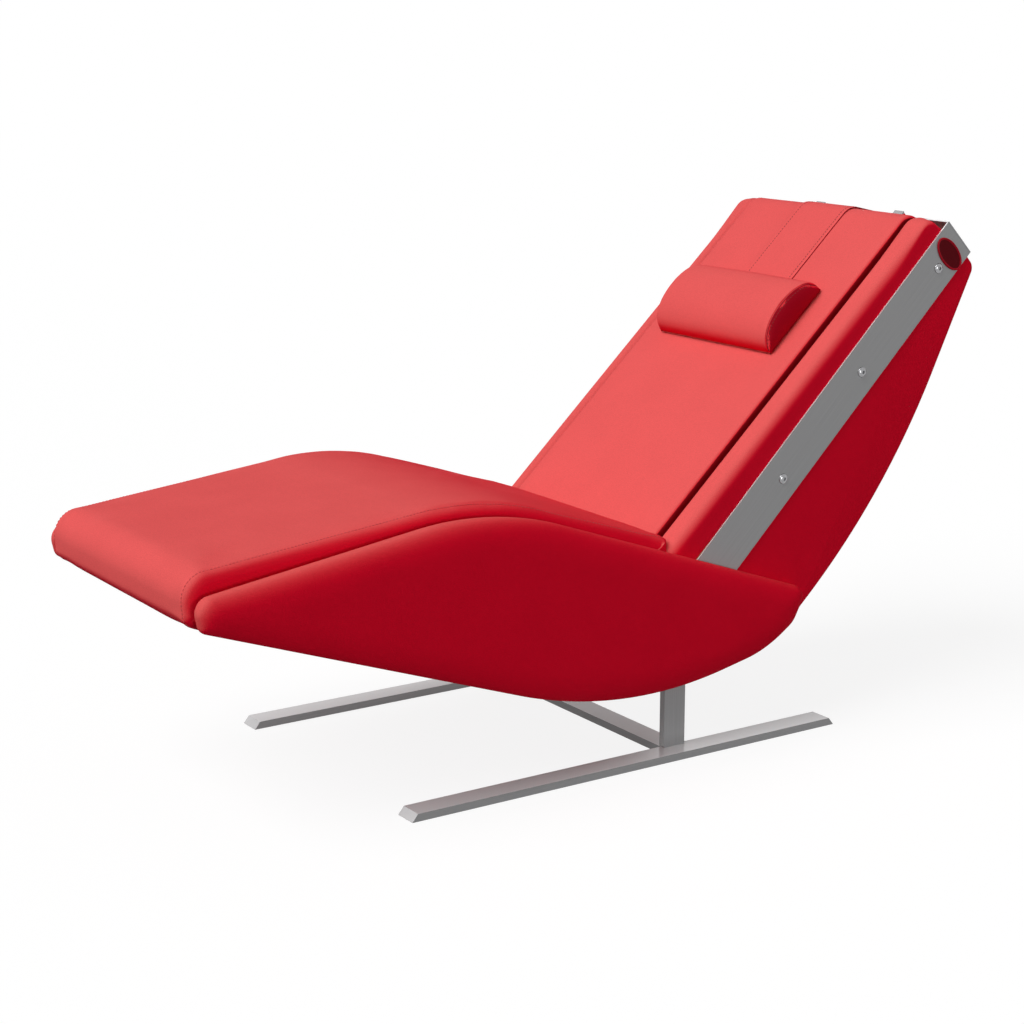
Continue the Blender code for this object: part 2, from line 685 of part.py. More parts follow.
def make_back(pivot):
    """Board, cheeks, floor and rear shell, with the centre pad and two bolsters in front."""
    behind = BOARD_FACE - BACK_BOARD_THICK
    board = box_outline(BACK_BOARD_FOOT, BACK_TOP, behind, BOARD_FACE)
    plate("back_board", board, -BACK_HALF, BACK_HALF, PLYWOOD, parent=pivot)

    skin = shell_path()
    lining = beside(skin, -SHELL_THICK)
    outer = rounded(skin, closed=False)
    inner = rounded(lining[::-1], closed=False)
    weights = [0] + [1] * (len(outer) - 2) + [0] + [0] * len(inner)
    edge = []
    for k in range(4):
        angle = math.pi / 6 * k
        edge.append((BACK_HALF - SHELL_EDGE * (1 - math.sin(angle)), SHELL_EDGE * (1 - math.cos(angle))))
    stations = [(-y, depth) for y, depth in edge[::-1]] + edge
    slab("back_shell", outer + inner, stations, LEATHER, weights=weights, parent=pivot)

    wall = beside(skin, -SHELL_THICK - FIT)
    front = behind - FIT
    cheek = rounded(wall, closed=False) + [Vector((CHEEK_FOOT, front))]
    cheek_in = BACK_HALF - CHEEK_THICK
    for side, sign in SIDE_SIGNS.items():
        plate("back_cheek_" + side, cheek, sign * cheek_in, sign * BACK_HALF, LEATHER, parent=pivot)
    foot = Vector(wall[-1][:2])
    head = Vector((CHEEK_FOOT, front))
    upward = (head - foot).normalized()
    lift = Vector((upward.y, -upward.x)) * FLOOR_THICK
    floor = [foot, head, meet(head + lift, upward, head, Vector((1, 0))), foot + lift]
    plate("back_floor", floor, FIT - cheek_in, cheek_in - FIT, PLYWOOD, parent=pivot)

    points, weights = pad_outline(PAD_FACE, PAD_TOP_ROUND)
    stations = crowned(PAD_HALF, PAD_EDGE, PAD_CROWN, steps=3)
    slab("back_pad", points, stations, LEATHER, weights=weights, parent=pivot)

    points, weights = pad_outline(BOLSTER_FACE, BOLSTER_TOP_ROUND)
    inside = PAD_HALF + GROOVE
    stations = []
    for k in range(4):
        angle = math.pi / 6 * k
        y = inside + BOLSTER_INNER_EDGE * (1 - math.cos(angle))
        stations.append((y, BOLSTER_INNER_EDGE * (1 - math.sin(angle))))
    for k in range(5):
        angle = math.pi / 8 * k
        y = BACK_HALF - BOLSTER_OUTER_EDGE * (1 - math.sin(angle))
        stations.append((y, BOLSTER_FALL + BOLSTER_OUTER_EDGE * (1 - math.cos(angle))))
    for side, sign in SIDE_SIGNS.items():
        mirrored = [(sign * y, depth) for y, depth in stations]
        slab("bolster_" + side, points, mirrored, LEATHER, weights=weights, parent=pivot)


# Steel strips, top plate, screws, badge and hooks

def make_strips(pivot):
    """The two arms of the back with their screws, joined by the plate across the top."""
    half = STRIP_WIDTH / 2
    where = {"parent": pivot, "tilt": -STRIP_SPLAY}
    arm_end = STRIP_LENGTH - STRIP_THICK - FIT
    screw_run = STRIP_LENGTH - SCREW_SETBACK - SCREW_FIRST
    arm = rounded([(-half, -half, half), (arm_end, -half, 0), (arm_end, half, 0), (-half, half, half)])
    for side, sign in SIDE_SIGNS.items():
        strip = plate("back_strip_" + side, arm, sign * STRIP_IN, sign * STRIP_OUT, STEEL, **where)
        ends = (sign * (STRIP_IN - STRIP_THICK), sign * (STRIP_OUT + STRIP_THICK))
        drill(strip, "pin_clearance_" + side, PIN_RADIUS + FIT, 0, 0, *ends, **where)
        for k in range(SCREW_COUNT):
            label = side + "_" + str(k + 1)
            place = SCREW_FIRST + screw_run * k / (SCREW_COUNT - 1)
            drill(strip, "screw_hole_" + label, SCREW_SHANK + FIT, place, SCREW_OFFSET, *ends, **where)
            make_screw("strip_screw_" + label, sign, place, where)
    top = box_outline(STRIP_LENGTH - STRIP_THICK, STRIP_LENGTH, -half, half)
    plate("back_top_plate", top, -STRIP_OUT, STRIP_OUT, STEEL, **where)


def make_screw(name, sign, place, where):
    """Button-head screw: a short shank in the strip and a low dome on its face."""
    seat = STRIP_OUT + FIT
    profile = [(STRIP_IN, SCREW_SHANK), (seat, SCREW_SHANK), (seat, SCREW_HEAD)]
    spans = 4
    for k in range(1, spans + 1):
        angle = SCREW_DOME_TURN * k / spans
        profile.append((seat + SCREW_DOME * math.sin(angle), SCREW_HEAD * math.cos(angle)))
    mirrored = [(sign * y, radius) for y, radius in profile]
    turned(name, mirrored, STEEL, centre=(place, SCREW_OFFSET), **where)


def make_badge(pivot):
    """Plain oval plaque with a raised rim, on the left strip."""
    spans = 40
    oval = []
    for k in range(spans):
        angle = 2 * math.pi * k / spans
        along = STRIP_LENGTH - BADGE_SETBACK + BADGE_HALF_SHORT * math.cos(angle)
        oval.append(Vector((along, BADGE_OFFSET + BADGE_HALF_LONG * math.sin(angle))))
    seat = STRIP_OUT + FIT
    face = seat + BADGE_THICK
    stations = [
        (-seat, 0),
        (BADGE_RECESS - face, 0),
        (-face, BADGE_RECESS),
        (-face, BADGE_RIM - BADGE_RECESS),
        (BADGE_RECESS - face, BADGE_RIM),
    ]
    slab("badge_plaque", oval, stations, LEATHER, parent=pivot, tilt=-STRIP_SPLAY)


def make_hooks(pivot):
    """Two bent steel hooks on the top plate, each with a leather tab behind it."""
    where = {"parent": pivot, "tilt": -STRIP_SPLAY}
    seat = STRIP_LENGTH + FIT
    front = STRIP_WIDTH / 2 - HOOK_SETBACK
    bend = HOOK_THICK
    foot = front - HOOK_FOOT
    hook = rounded([
        (seat, foot, 0),
        (seat, front, bend),
        (seat + HOOK_RISE, front, 0),
        (seat + HOOK_RISE, front - HOOK_THICK, 0),
        (seat + HOOK_THICK, front - HOOK_THICK, 0),
        (seat + HOOK_THICK, foot, 0),
    ])
    tab_foot = seat + HOOK_THICK + FIT
    tab_front = front - HOOK_THICK - FIT
    tab = box_outline(tab_foot, tab_foot + TAB_RISE, tab_front - TAB_THICK, tab_front, TAB_THICK / 3)
    for side, sign in SIDE_SIGNS.items():
        y_from = sign * HOOK_Y - HOOK_WIDTH / 2
        y_to = y_from + HOOK_WIDTH
        plate("top_hook_" + side, hook, y_from, y_to, STEEL, **where)
        plate("hook_tab_" + side, tab, y_from, y_to, LEATHER, **where)


# Head pillow, strap and counterweight

def rear_slope():
    """Direction down the straight upper part of the rear shell."""
    return Vector((SHELL_BELLY_S - SHELL_TOP, SHELL_BELLY_O - SHELL_TOP_O)).normalized()


def splayed(along, across):
    """Point of the strips' splayed frame in the back's frame."""
    cosine = math.cos(STRIP_SPLAY)
    sine = math.sin(STRIP_SPLAY)
    return Vector((along * cosine - across * sine, along * sine + across * cosine))


def make_pillow(pivot):
    """Pillow on the pad's face, held by a strap to a counterweight behind the back."""
    down = rear_slope()
    out = Vector((-down.y, down.x))
    rear = Vector((SHELL_TOP, SHELL_TOP_O)) + out * FIT
    edge = splayed(STRIP_LENGTH + 2 * FIT, STRIP_WIDTH / 2 + 2 * FIT)
    over = meet(rear, down, edge, splayed(0, 1))
    strap_end = rear + down * (WEIGHT_DROP + WEIGHT_HOLD)
    face = PAD_FACE + FIT
    path = [
        (PILLOW_FOOT + PILLOW_LENGTH / 6, face, 0),
        (BACK_TOP - PAD_TOP_ROUND / 2 + 2 * FIT, face, PAD_TOP_ROUND + FIT),
        (edge.x, edge.y, STRAP_EDGE_ROUND),
        (over.x, over.y, STRAP_REAR_ROUND),
        (strap_end.x, strap_end.y, 0),
    ]
    under = rounded(path, closed=False)
    upper = rounded(beside(path, STRAP_THICK)[::-1], closed=False)
    plate("pillow_strap", under + upper, -STRAP_HALF, STRAP_HALF, LEATHER, parent=pivot)

    soft = rounded([
        (0, 0, 0),
        (PILLOW_HEEL, PILLOW_HEEL_RISE, PILLOW_HEEL_ROUND),
        (PILLOW_LENGTH - PILLOW_CREST, PILLOW_HEIGHT, PILLOW_CREST_ROUND),
        (PILLOW_LENGTH, 0, 0),
    ], closed=False)
    weights = [0] + [1] * (len(soft) - 2) + [0]
    stations = crowned(PILLOW_HALF, PILLOW_EDGE, PILLOW_CROWN, steps=3)
    seat = (PILLOW_FOOT, 0, face + STRAP_THICK + FIT)
    slab("head_pillow", soft, stations, LEATHER, weights=weights, parent=pivot, place=seat)

    corner = rear + down * WEIGHT_DROP + out * (STRAP_THICK + FIT)
    bag = box_outline(0, WEIGHT_LENGTH, 0, WEIGHT_THICK, WEIGHT_ROUND)
    stations = crowned(STRAP_HALF, WEIGHT_EDGE, 0, steps=2, spans=1)
    slope = -math.atan2(down.y, down.x)
    slab("counterweight", bag, stations, LEATHER, parent=pivot, place=(corner.x, 0, corner.y), tilt=slope)


def main():
    """Clear the scene and build every piece."""
    for thing in list(bpy.data.objects):
        bpy.data.objects.remove(thing, do_unlink=True)
    pivot = bpy.data.objects.new("back_pivot", None)
    pivot.location = (PIVOT_X, 0, PIVOT_Z)
    pivot.rotation_euler = (0, -BACK_ANGLE, 0)
    bpy.context.scene.collection.objects.link(pivot)
    make_base()
    make_panels()
    make_seat()
    make_mechanism(pivot)
    make_back(pivot)
    make_strips(pivot)
    make_badge(pivot)
    make_hooks(pivot)
    make_pillow(pivot)


main()
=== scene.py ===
# %% [markdown]
# # A red leather lounger on a flat-bar base
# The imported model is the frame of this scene: it says where each piece is and what moves.
# This lesson adds the looks. Hard pieces keep their CAD shape and get a finish. Soft pieces
# are made again as fine meshes that ride on the same bodies, so every joint still works.

# %% Load the frame
import math

import bmesh
import bpy
import numpy as np
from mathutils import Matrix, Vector


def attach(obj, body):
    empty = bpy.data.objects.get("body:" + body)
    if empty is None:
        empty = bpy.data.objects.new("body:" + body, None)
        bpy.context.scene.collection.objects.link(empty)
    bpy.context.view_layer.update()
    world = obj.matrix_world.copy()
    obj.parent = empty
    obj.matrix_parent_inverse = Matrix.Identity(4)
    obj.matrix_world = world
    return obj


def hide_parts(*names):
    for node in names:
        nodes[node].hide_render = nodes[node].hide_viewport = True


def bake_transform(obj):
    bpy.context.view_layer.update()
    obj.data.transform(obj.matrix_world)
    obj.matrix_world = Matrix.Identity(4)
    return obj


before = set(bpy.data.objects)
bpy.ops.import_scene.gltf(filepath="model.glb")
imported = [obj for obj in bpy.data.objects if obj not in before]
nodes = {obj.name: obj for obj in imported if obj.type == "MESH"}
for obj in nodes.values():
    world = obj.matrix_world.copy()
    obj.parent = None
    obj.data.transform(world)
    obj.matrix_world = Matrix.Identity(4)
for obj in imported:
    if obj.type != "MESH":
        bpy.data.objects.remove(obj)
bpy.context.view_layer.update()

# %% [markdown]
# ## Camera
# The camera was solved from the corners of the two floor rails. A long lens far away would
# flatten the rails, a short one close by would spread them; only one pair of distance and
# lens puts all corners in place. The tilt is 13 degrees down and the heading 33.5 degrees.

# %% Place the camera
SENSOR_MM = 36.0
LENS_MM = 77.66
TILT_DOWN = math.radians(13.28)
HEADING = math.radians(33.5)
CAMERA_PLACE = (-2.534, -3.547, 1.456)

lens = bpy.data.cameras.new("photo_camera")
lens.sensor_width = SENSOR_MM
lens.lens = LENS_MM
camera = bpy.data.objects.new("photo_camera", lens)
camera.location = CAMERA_PLACE
camera.rotation_euler = (math.pi / 2 - TILT_DOWN, 0, -HEADING)
bpy.context.scene.collection.objects.link(camera)
bpy.context.scene.camera = camera
bpy.context.scene.view_settings.view_transform = "Standard"
print("camera:", LENS_MM, "mm lens")

# %% [markdown]
# ## Colours and nodes
# Colours are picked as screen values, but shaders want linear light, so one function turns
# a hex text into linear numbers. Another adds a shader node and fills in its inputs, by name
# or in the node's own order; an input is either a value or the output of an earlier node.


# %% Colour and node helpers
def linear(text):
    """Screen colour such as c0ffee as linear red, green, blue and alpha."""
    values = []
    for start in (0, 2, 4):
        level = int(text[start:start + 2], 16) / 255
        values.append(level / 12.92 if level <= 0.04045 else ((level + 0.055) / 1.055) ** 2.4)
    return (*values, 1.0)


def fill(tree, node, inputs):
    """Set a node's inputs, by name or in order; each is a value or an earlier node's output."""
    for socket, value in inputs.items() if isinstance(inputs, dict) else enumerate(inputs):
        if isinstance(value, bpy.types.NodeSocket):
            tree.links.new(value, node.inputs[socket])
        else:
            node.inputs[socket].default_value = value


def add(tree, kind, inputs=(), output=0, **settings):
    """Add a shader node with its settings and inputs, and give one of its outputs."""
    node = tree.nodes.new(kind)
    for name, value in settings.items():
        setattr(node, name, value)
    fill(tree, node, inputs)
    return node.outputs[output]


def blank(name):
    """A new material with its node tree and its surface shader."""
    material = bpy.data.materials.new(name)
    material.use_nodes = True
    tree = material.node_tree
    return material, tree, tree.nodes["Principled BSDF"]


def pattern_space(tree, size, turn=0.0):
    """Object coordinates divided by a pattern size in metres, turned about Y."""
    place = add(tree, "ShaderNodeTexCoord", output="Object")
    scale = tuple(map(float, np.broadcast_to(size, 3)))
    inputs = {"Vector": place, "Rotation": (0, -turn, 0), "Scale": scale}
    return add(tree, "ShaderNodeMapping", inputs, vector_type="TEXTURE")


# Settings used by many nodes: a range with soft ends, and a mix of two colours. A range's
# inputs are the value, the range it has and the range it gets.
SOFT = {"interpolation_type": "SMOOTHSTEP"}
COLOUR = {"data_type": "RGBA", "output": 2}

# %% [markdown]
# ## Light, backdrop and floor
# A broad key light stands high over the foot end, so the lying surfaces are bright. A weaker
# one lies low beside the long side in view, and a little even light comes from all round,
# so grooves and gaps stay dark. The backdrop and the floor look white to the camera and in
# reflections, but only a part of that white is light that falls on the lounger; the floor
# keeps the lounger's soft shadow.

# %% Set the lights
KEY_LEVEL = 0.80
KEY_FROM = (-0.682, 0.0, 0.731)
KEY_SPREAD = math.radians(45)
SIDE_LEVEL = 0.235
SIDE_FROM = (-0.10, -0.99, 0.06)
SIDE_SPREAD = math.radians(14)
FILL_LEVEL = 0.15
WHITE = (1, 1, 1, 1)


def lamp(name, level, source, spread):
    """Broad even light from a direction; level 1 shows a colour as it is written."""
    data = bpy.data.lights.new(name, "SUN")
    data.energy = level * math.pi
    data.angle = spread
    light = bpy.data.objects.new(name, data)
    light.rotation_euler = Vector(source).to_track_quat("Z", "Y").to_euler()
    bpy.context.scene.collection.objects.link(light)


lamp("key_light", KEY_LEVEL, KEY_FROM, KEY_SPREAD)
lamp("side_light", SIDE_LEVEL, SIDE_FROM, SIDE_SPREAD)


def seen_directly(tree):
    """One for rays from the camera and mirror-like rays, zero for diffuse light."""
    total = add(tree, "ShaderNodeLightPath", output="Is Camera Ray")
    for name in ("Is Glossy Ray", "Is Transmission Ray"):
        ray = add(tree, "ShaderNodeLightPath", output=name)
        total = add(tree, "ShaderNodeMath", [total, ray], operation="MAXIMUM")
    return total


world = bpy.data.worlds.new("studio")
world.use_nodes = True
bpy.context.scene.world = world
tree = world.node_tree
level = add(tree, "ShaderNodeMapRange", [seen_directly(tree), 0.0, 1.0, FILL_LEVEL, 1.0], **SOFT)
fill(tree, tree.nodes["Background"], {"Color": WHITE, "Strength": level})
print("light: key", KEY_LEVEL, "side", SIDE_LEVEL, "fill", FILL_LEVEL)

# %% Lay the floor
FLOOR_GREY = 0.16
FLOOR_GLOW = 0.88
FLOOR_SIDE = 40.0
FLOOR_DROP = 0.0006

floor_paint, tree, shader = blank("floor_paint_matt_white")
glow = add(tree, "ShaderNodeMapRange", [seen_directly(tree), 0.0, 1.0, 0.0, FLOOR_GLOW], **SOFT)
fill(tree, shader, {
    "Base Color": (FLOOR_GREY, FLOOR_GREY, FLOOR_GREY, 1),
    "Roughness": 0.9,
    "Specular IOR Level": 0.0,
    "Emission Color": WHITE,
    "Emission Strength": glow,
})
half = FLOOR_SIDE / 2
mesh = bpy.data.meshes.new("floor")
corners = [(-half, -half, 0), (half, -half, 0), (half, half, 0), (-half, half, 0)]
mesh.from_pydata(corners, [], [(0, 1, 2, 3)])
mesh.materials.append(floor_paint)
floor = bpy.data.objects.new("floor", mesh)
floor.location.z = -FLOOR_DROP
bpy.context.scene.collection.objects.link(floor)
print("floor:", FLOOR_SIDE, "m square")

# %% [markdown]
# ## Leather
# Leather is a dyed skin with pressed pebbles: cells with fine creases between them. A
# Voronoi pattern draws the cells, a little noise bends their edges, and bump shading lifts
# them; the creases are also painted darker, as shade. Real pebbles are about 1 mm; from this
# distance they are drawn at 2.6 mm so that the grain can still be seen. Slow noise changes
# colour and gloss a little over the hide. Faces turned towards the key light are painted
# paler, as light and sheen, and faces turned away get a deeper red, as shade.

# %% Leather materials
PEBBLE = 0.0026
PEBBLE_DEPTH = 0.00014
HIDE_CLOUD = 0.11
KEY_LIT_SIDE = (-0.766, 0.0, 0.643)
GLOSS_CHANGE = 0.03


def leather(name, painted_lit_tone, deep, rough, depth=PEBBLE_DEPTH):
    """Dyed cowhide with a pressed grain, painted paler as light where it faces the key light and deeper as
    shade where it turns away.
    """
    material, tree, shader = blank(name)
    space = pattern_space(tree, PEBBLE)
    wander = add(tree, "ShaderNodeTexNoise", {"Vector": space, "Scale": 0.8, "Detail": 2.0}, output=1)
    drift = add(tree, "ShaderNodeVectorMath", [wander, (0.7,) * 3], operation="MULTIPLY")
    bent = add(tree, "ShaderNodeVectorMath", [space, drift], operation="ADD")
    inputs = {"Vector": bent, "Scale": 1.0}
    cells = add(tree, "ShaderNodeTexVoronoi", inputs, feature="DISTANCE_TO_EDGE")
    pebble = add(tree, "ShaderNodeMapRange", [cells, 0.0, 0.28, 0.0, 1.0], **SOFT)
    inputs = {"Vector": pattern_space(tree, HIDE_CLOUD), "Scale": 1.0, "Detail": 4.0}
    hide = add(tree, "ShaderNodeTexNoise", inputs)
    # Painted light and shade: faces turned towards the key light get the pale tone, faces turned away the
    # deep tone.
    facing = [add(tree, "ShaderNodeTexCoord", output="Normal"), KEY_LIT_SIDE]
    towards = add(tree, "ShaderNodeVectorMath", facing, "Value", operation="DOT_PRODUCT")
    painted_light_share = add(tree, "ShaderNodeMapRange", [towards, 0.12, 0.82, 0.0, 1.0], **SOFT)
    tone = add(tree, "ShaderNodeMix", {0: painted_light_share, 6: linear(deep), 7: linear(painted_lit_tone)}, **COLOUR)
    cloud = add(tree, "ShaderNodeMapRange", [hide, 0.3, 0.7, 0.985, 1.01], **SOFT)
    # Painted shade: the creases between pebbles are drawn up to a tenth darker.
    crease = add(tree, "ShaderNodeMapRange", [pebble, 0.0, 1.0, 0.90, 1.0], **SOFT)
    shade = add(tree, "ShaderNodeMath", [cloud, crease], operation="MULTIPLY")
    gloss = [hide, 0.3, 0.7, rough + GLOSS_CHANGE, rough - GLOSS_CHANGE]
    fill(tree, shader, {
        "Base Color": add(tree, "ShaderNodeVectorMath", {0: tone, "Scale": shade}, operation="SCALE"),
        "Roughness": add(tree, "ShaderNodeMapRange", gloss, **SOFT),
        "Normal": add(tree, "ShaderNodeBump", {"Height": pebble, "Distance": depth}),
        "Specular IOR Level": 0.05,
    })
    return material


# Soft upholstery hide on the lying surfaces: pigment-dyed, light finish
seat_leather = leather("cowhide_dyed_red_pressed_grain", "f26160", "f00a2d", 0.75)
# Firmer hide stretched over the boards: the same dye, with a deeper pressed grain
panel_leather = leather("cowhide_dyed_red_stretched", "f05e5d", "f0082c", 0.72, 0.00026)
# Cut edges of the strap, burnished dark with wax and drawn darker still as the shadow along the strap's
# edge; walls beside the pad's grooves, painted dark as shade
edge_and_shade_leather = leather("cowhide_burnished_edge_and_painted_shade", "9a1420", "8a0c1a", 0.42, 0.0001)
# Ends sewn into the pillow: the same hide, painted darker as shade
end_shade_leather = leather("cowhide_red_sewn_in_ends_painted_shade", "c02a36", "a80620", 0.72)
print("leather:", seat_leather.name, panel_leather.name, edge_and_shade_leather.name, end_shade_leather.name)

# %% Sewing threads
TWIST = 0.0016


def thread(name, colour, band):
    """Twisted polyester sewing thread: fine slanted bands over a plain colour."""
    material, tree, shader = blank(name)
    inputs = {"Vector": pattern_space(tree, TWIST), "Scale": 1.0}
    bands = add(tree, "ShaderNodeTexWave", inputs, output=1, bands_direction="DIAGONAL")
    fill(tree, shader, {
        "Base Color": add(tree, "ShaderNodeMix", {0: bands, 6: linear(colour), 7: linear(band)}, **COLOUR),
        "Roughness": 0.6,
        "Normal": add(tree, "ShaderNodeBump", {"Height": bands, "Distance": 0.0001}),
    })
    return material


# Two threads: one as deep as the sides, and one as pale as the seat top, a copy painted with light
red_thread = thread("polyester_thread_twisted_red", "98161f", "6c0c14")
lit_copy_thread = thread("polyester_thread_coral_painted_lit", "d8484a", "c03a40")
print("threads:", red_thread.name, lit_copy_thread.name)

# %% [markdown]
# ## Steel, plywood and the rest
# The bar is stainless steel brushed along its length: noise stretched into long lines
# changes its gloss and tilts its surface a little. Lines of 0.2 mm are drawn 1.2 mm apart so
# that they show. Faces that look up are painted paler, as light. Hidden parts are black
# painted steel, plywood with its layers, and bronze.

# %% Steel materials
LINE = 0.0012
STROKE = 0.16
BACK_ANGLE = math.radians(42.94)
STRIP_SPLAY = math.radians(1.52)
STRIP_TURN = BACK_ANGLE + STRIP_SPLAY
# Painted light: faces that look up get the top colour, far paler than the sides.
BAR = {"dark": "9d9d9e", "bright": "a2a2a3", "rough": 0.20, "top": "f2f2f3"}
HOOK = {**BAR, "top": "a8a8a9"}


def brushed(name, size, turn, dark, bright, rough, metal=0.12, top=None):
    """Stainless steel with brush lines along the pattern's long side, painted paler as light where it
    faces up.
    """
    material, tree, shader = blank(name)
    inputs = {"Vector": pattern_space(tree, size, turn), "Scale": 1.0, "Detail": 3.0}
    lines = add(tree, "ShaderNodeTexNoise", inputs)
    streak = add(tree, "ShaderNodeMapRange", [lines, 0.3, 0.7, 0.0, 1.0], **SOFT)
    ground_and_lit_top = add(tree, "ShaderNodeMix", {0: streak, 6: linear(dark), 7: linear(bright)}, **COLOUR)
    if top:
        facing = add(tree, "ShaderNodeTexCoord", output="Normal")
        upward = add(tree, "ShaderNodeSeparateXYZ", [facing], output=2)
        flat = add(tree, "ShaderNodeMapRange", [upward, 0.3, 0.8, 0.0, 1.0], **SOFT)
        ground_and_lit_top = add(tree, "ShaderNodeMix", {0: flat, 6: ground_and_lit_top, 7: linear(top)}, **COLOUR)
    gloss = [lines, 0.3, 0.7, rough + GLOSS_CHANGE, rough - GLOSS_CHANGE]
    fill(tree, shader, {
        "Base Color": ground_and_lit_top,
        "Roughness": add(tree, "ShaderNodeMapRange", gloss, **SOFT),
        "Normal": add(tree, "ShaderNodeBump", {"Height": lines, "Distance": 0.00003}),
        "Metallic": metal,
    })
    return material


# Stainless bar as rolled, then brushed with a belt along its length: fine lines, soft gloss
along_x = brushed("stainless_flat_bar_brushed_lengthwise", (STROKE, LINE, LINE), 0.0, **BAR)
along_y = brushed("stainless_flat_bar_brushed_across", (LINE, STROKE, LINE), 0.0, **BAR)
along_z = brushed("stainless_flat_bar_brushed_upright", (LINE, LINE, STROKE), 0.0, **BAR)
along_strip = brushed("stainless_strip_brushed_along_back", (STROKE, LINE, LINE), STRIP_TURN, **BAR)
# Hooks bent from the same sheet, with only a faint painted light on top
hook_steel = brushed("stainless_hook_bent_and_brushed", (LINE, STROKE, LINE), 0.0, **HOOK)
# Turned and polished steel: screws and the strut's rod, with faint turning marks
polished = brushed("stainless_turned_polished", 0.004, 0.0, "8e8e90", "a0a0a2", 0.22, 1.0)
print("steel:", along_x.name, along_strip.name, hook_steel.name, polished.name)

# %% Other hard materials
FIRED = {"rough": 0.5, "depth": 0.0002, "shine": 0.06}


def mottled(name, size, first, second, rough, detail=2.0, depth=0.0, metal=0.0, shine=0.5):
    """Two close tones in soft blotches, with a low relief if it has a depth."""
    material, tree, shader = blank(name)
    inputs = {"Vector": pattern_space(tree, size), "Scale": 1.0, "Detail": detail}
    blotches = add(tree, "ShaderNodeTexNoise", inputs)
    tones = {0: blotches, 6: linear(first), 7: linear(second)}
    fill(tree, shader, {
        "Base Color": add(tree, "ShaderNodeMix", tones, **COLOUR),
        "Roughness": rough,
        "Metallic": metal,
        "Specular IOR Level": shine,
    })
    if depth:
        relief = add(tree, "ShaderNodeBump", {"Height": blotches, "Distance": depth})
        fill(tree, shader, {"Normal": relief})
    return material


# Black powder coat over steel: a fine orange-peel surface
coated = mottled("powder_coat_black_on_steel", 0.002, "2a2a2c", "343436", 0.5, depth=0.0002)
# Birch plywood, cut with a saw: thin layers across its thickness, drawn as bands
plywood = mottled("birch_plywood_sawn", (0.08, 0.0015, 0.08), "b98a5c", "8a6038", 0.75, detail=3.0)
# Sintered bronze: oily pores
bronze = mottled("bronze_sintered", 0.0008, "b08a4c", "8c6a34", 0.4, metal=1.0)
# Fired enamel of the plaque's sunk field and its raised rim: a glassy, slightly wavy coat
enamel = mottled("enamel_fired_oxblood", 0.006, "5a000c", "660410", **FIRED)
rim_enamel = mottled("enamel_fired_crimson", 0.006, "a80c20", "b4182a", **FIRED)
print("hard materials:", coated.name, plywood.name, bronze.name, enamel.name, rim_enamel.name)

# %% [markdown]
# ## Lines with rounded corners
# Most pieces of this lounger are drawn in side view and then carried across its width. A
# side view is a list of corners, each with a radius. The functions below turn corners into
# points, pick points along a line, and find the direction to a line's left, which is the
# inside when a line runs round a form anticlockwise.

# %% Line helpers
STEP = 0.010
TURN = math.radians(6)


def rounded(corners, closed=False):
    """Points along a line; each corner is (a, b, radius)."""
    spots = [np.array(corner[:2], float) for corner in corners]
    points = []
    for i, corner in enumerate(corners):
        radius = corner[2]
        if radius == 0:
            points.append(spots[i])
            continue
        before = spots[i - 1] - spots[i]
        after = spots[(i + 1) % len(spots)] - spots[i]
        before /= np.linalg.norm(before)
        after /= np.linalg.norm(after)
        half = math.acos(before @ after) / 2
        inward = (before + after) / np.linalg.norm(before + after)
        onward = (after - before) / np.linalg.norm(after - before)
        centre = spots[i] + inward * radius / math.sin(half)
        sweep = math.pi - 2 * half
        spans = max(2, math.ceil(sweep / TURN), math.ceil(radius * sweep / STEP))
        for k in range(spans + 1):
            angle = sweep * (k / spans - 0.5)
            points.append(centre + radius * (onward * math.sin(angle) - inward * math.cos(angle)))
    if closed:
        points.append(points[0])
    dense = [points[0]]
    for a, b in zip(points, points[1:]):
        spans = max(1, math.ceil(np.linalg.norm(b - a) / STEP - 0.01))
        for k in range(1, spans + 1):
            dense.append(a + (b - a) * k / spans)
    return np.array(dense[:-1] if closed else dense)


def reach(path):
    """Length along a path up to each point."""
    steps = np.linalg.norm(np.diff(path, axis=0), axis=1)
    return np.concatenate([[0.0], np.cumsum(steps)])


def pick(path, shares):
    """Points at shares of a path's length."""
    far = reach(path)
    columns = [np.interp(np.asarray(shares) * far[-1], far, path[:, k]) for k in range(path.shape[1])]
    return np.stack(columns, axis=1)


def leftward(path, closed=False):
    """Unit directions to the left of a path."""
    if closed:
        tangent = np.roll(path, -1, axis=0) - np.roll(path, 1, axis=0)
    else:
        tangent = np.gradient(path, axis=0)
    tangent /= np.linalg.norm(tangent, axis=1)[:, None]
    return np.stack([-tangent[:, 1], tangent[:, 0]], axis=1)


PIVOT = np.array([0.058, 0.3315])
SIDES = (("left", -1), ("right", 1))


def quarter(spans):
    """Sine and cosine at even steps through a quarter turn."""
    angles = [math.pi / 2 * k / spans for k in range(spans + 1)]
    return [(math.sin(angle), math.cos(angle)) for angle in angles]


def on_seat(a, y, b):
    """Side-view point of the seat as a place in space."""
    return (a, y, b)


def on_back(s, y, o):
    """Point s up the back and o out of its face as a place in space."""
    x = PIVOT[0] + s * math.cos(BACK_ANGLE) - o * math.sin(BACK_ANGLE)
    z = PIVOT[1] + s * math.sin(BACK_ANGLE) + o * math.cos(BACK_ANGLE)
    return (x, y, z)


def splayed(along, across):
    """Point of the strips' frame, which leans a little from the back's."""
    s = along * math.cos(STRIP_SPLAY) - across * math.sin(STRIP_SPLAY)
    o = along * math.sin(STRIP_SPLAY) + across * math.cos(STRIP_SPLAY)
    return np.array([s, o])


def on_strip(along, y, across):
    """Point of the strips' frame as a place in space."""
    s, o = splayed(along, across)
    return on_back(s, y, o)


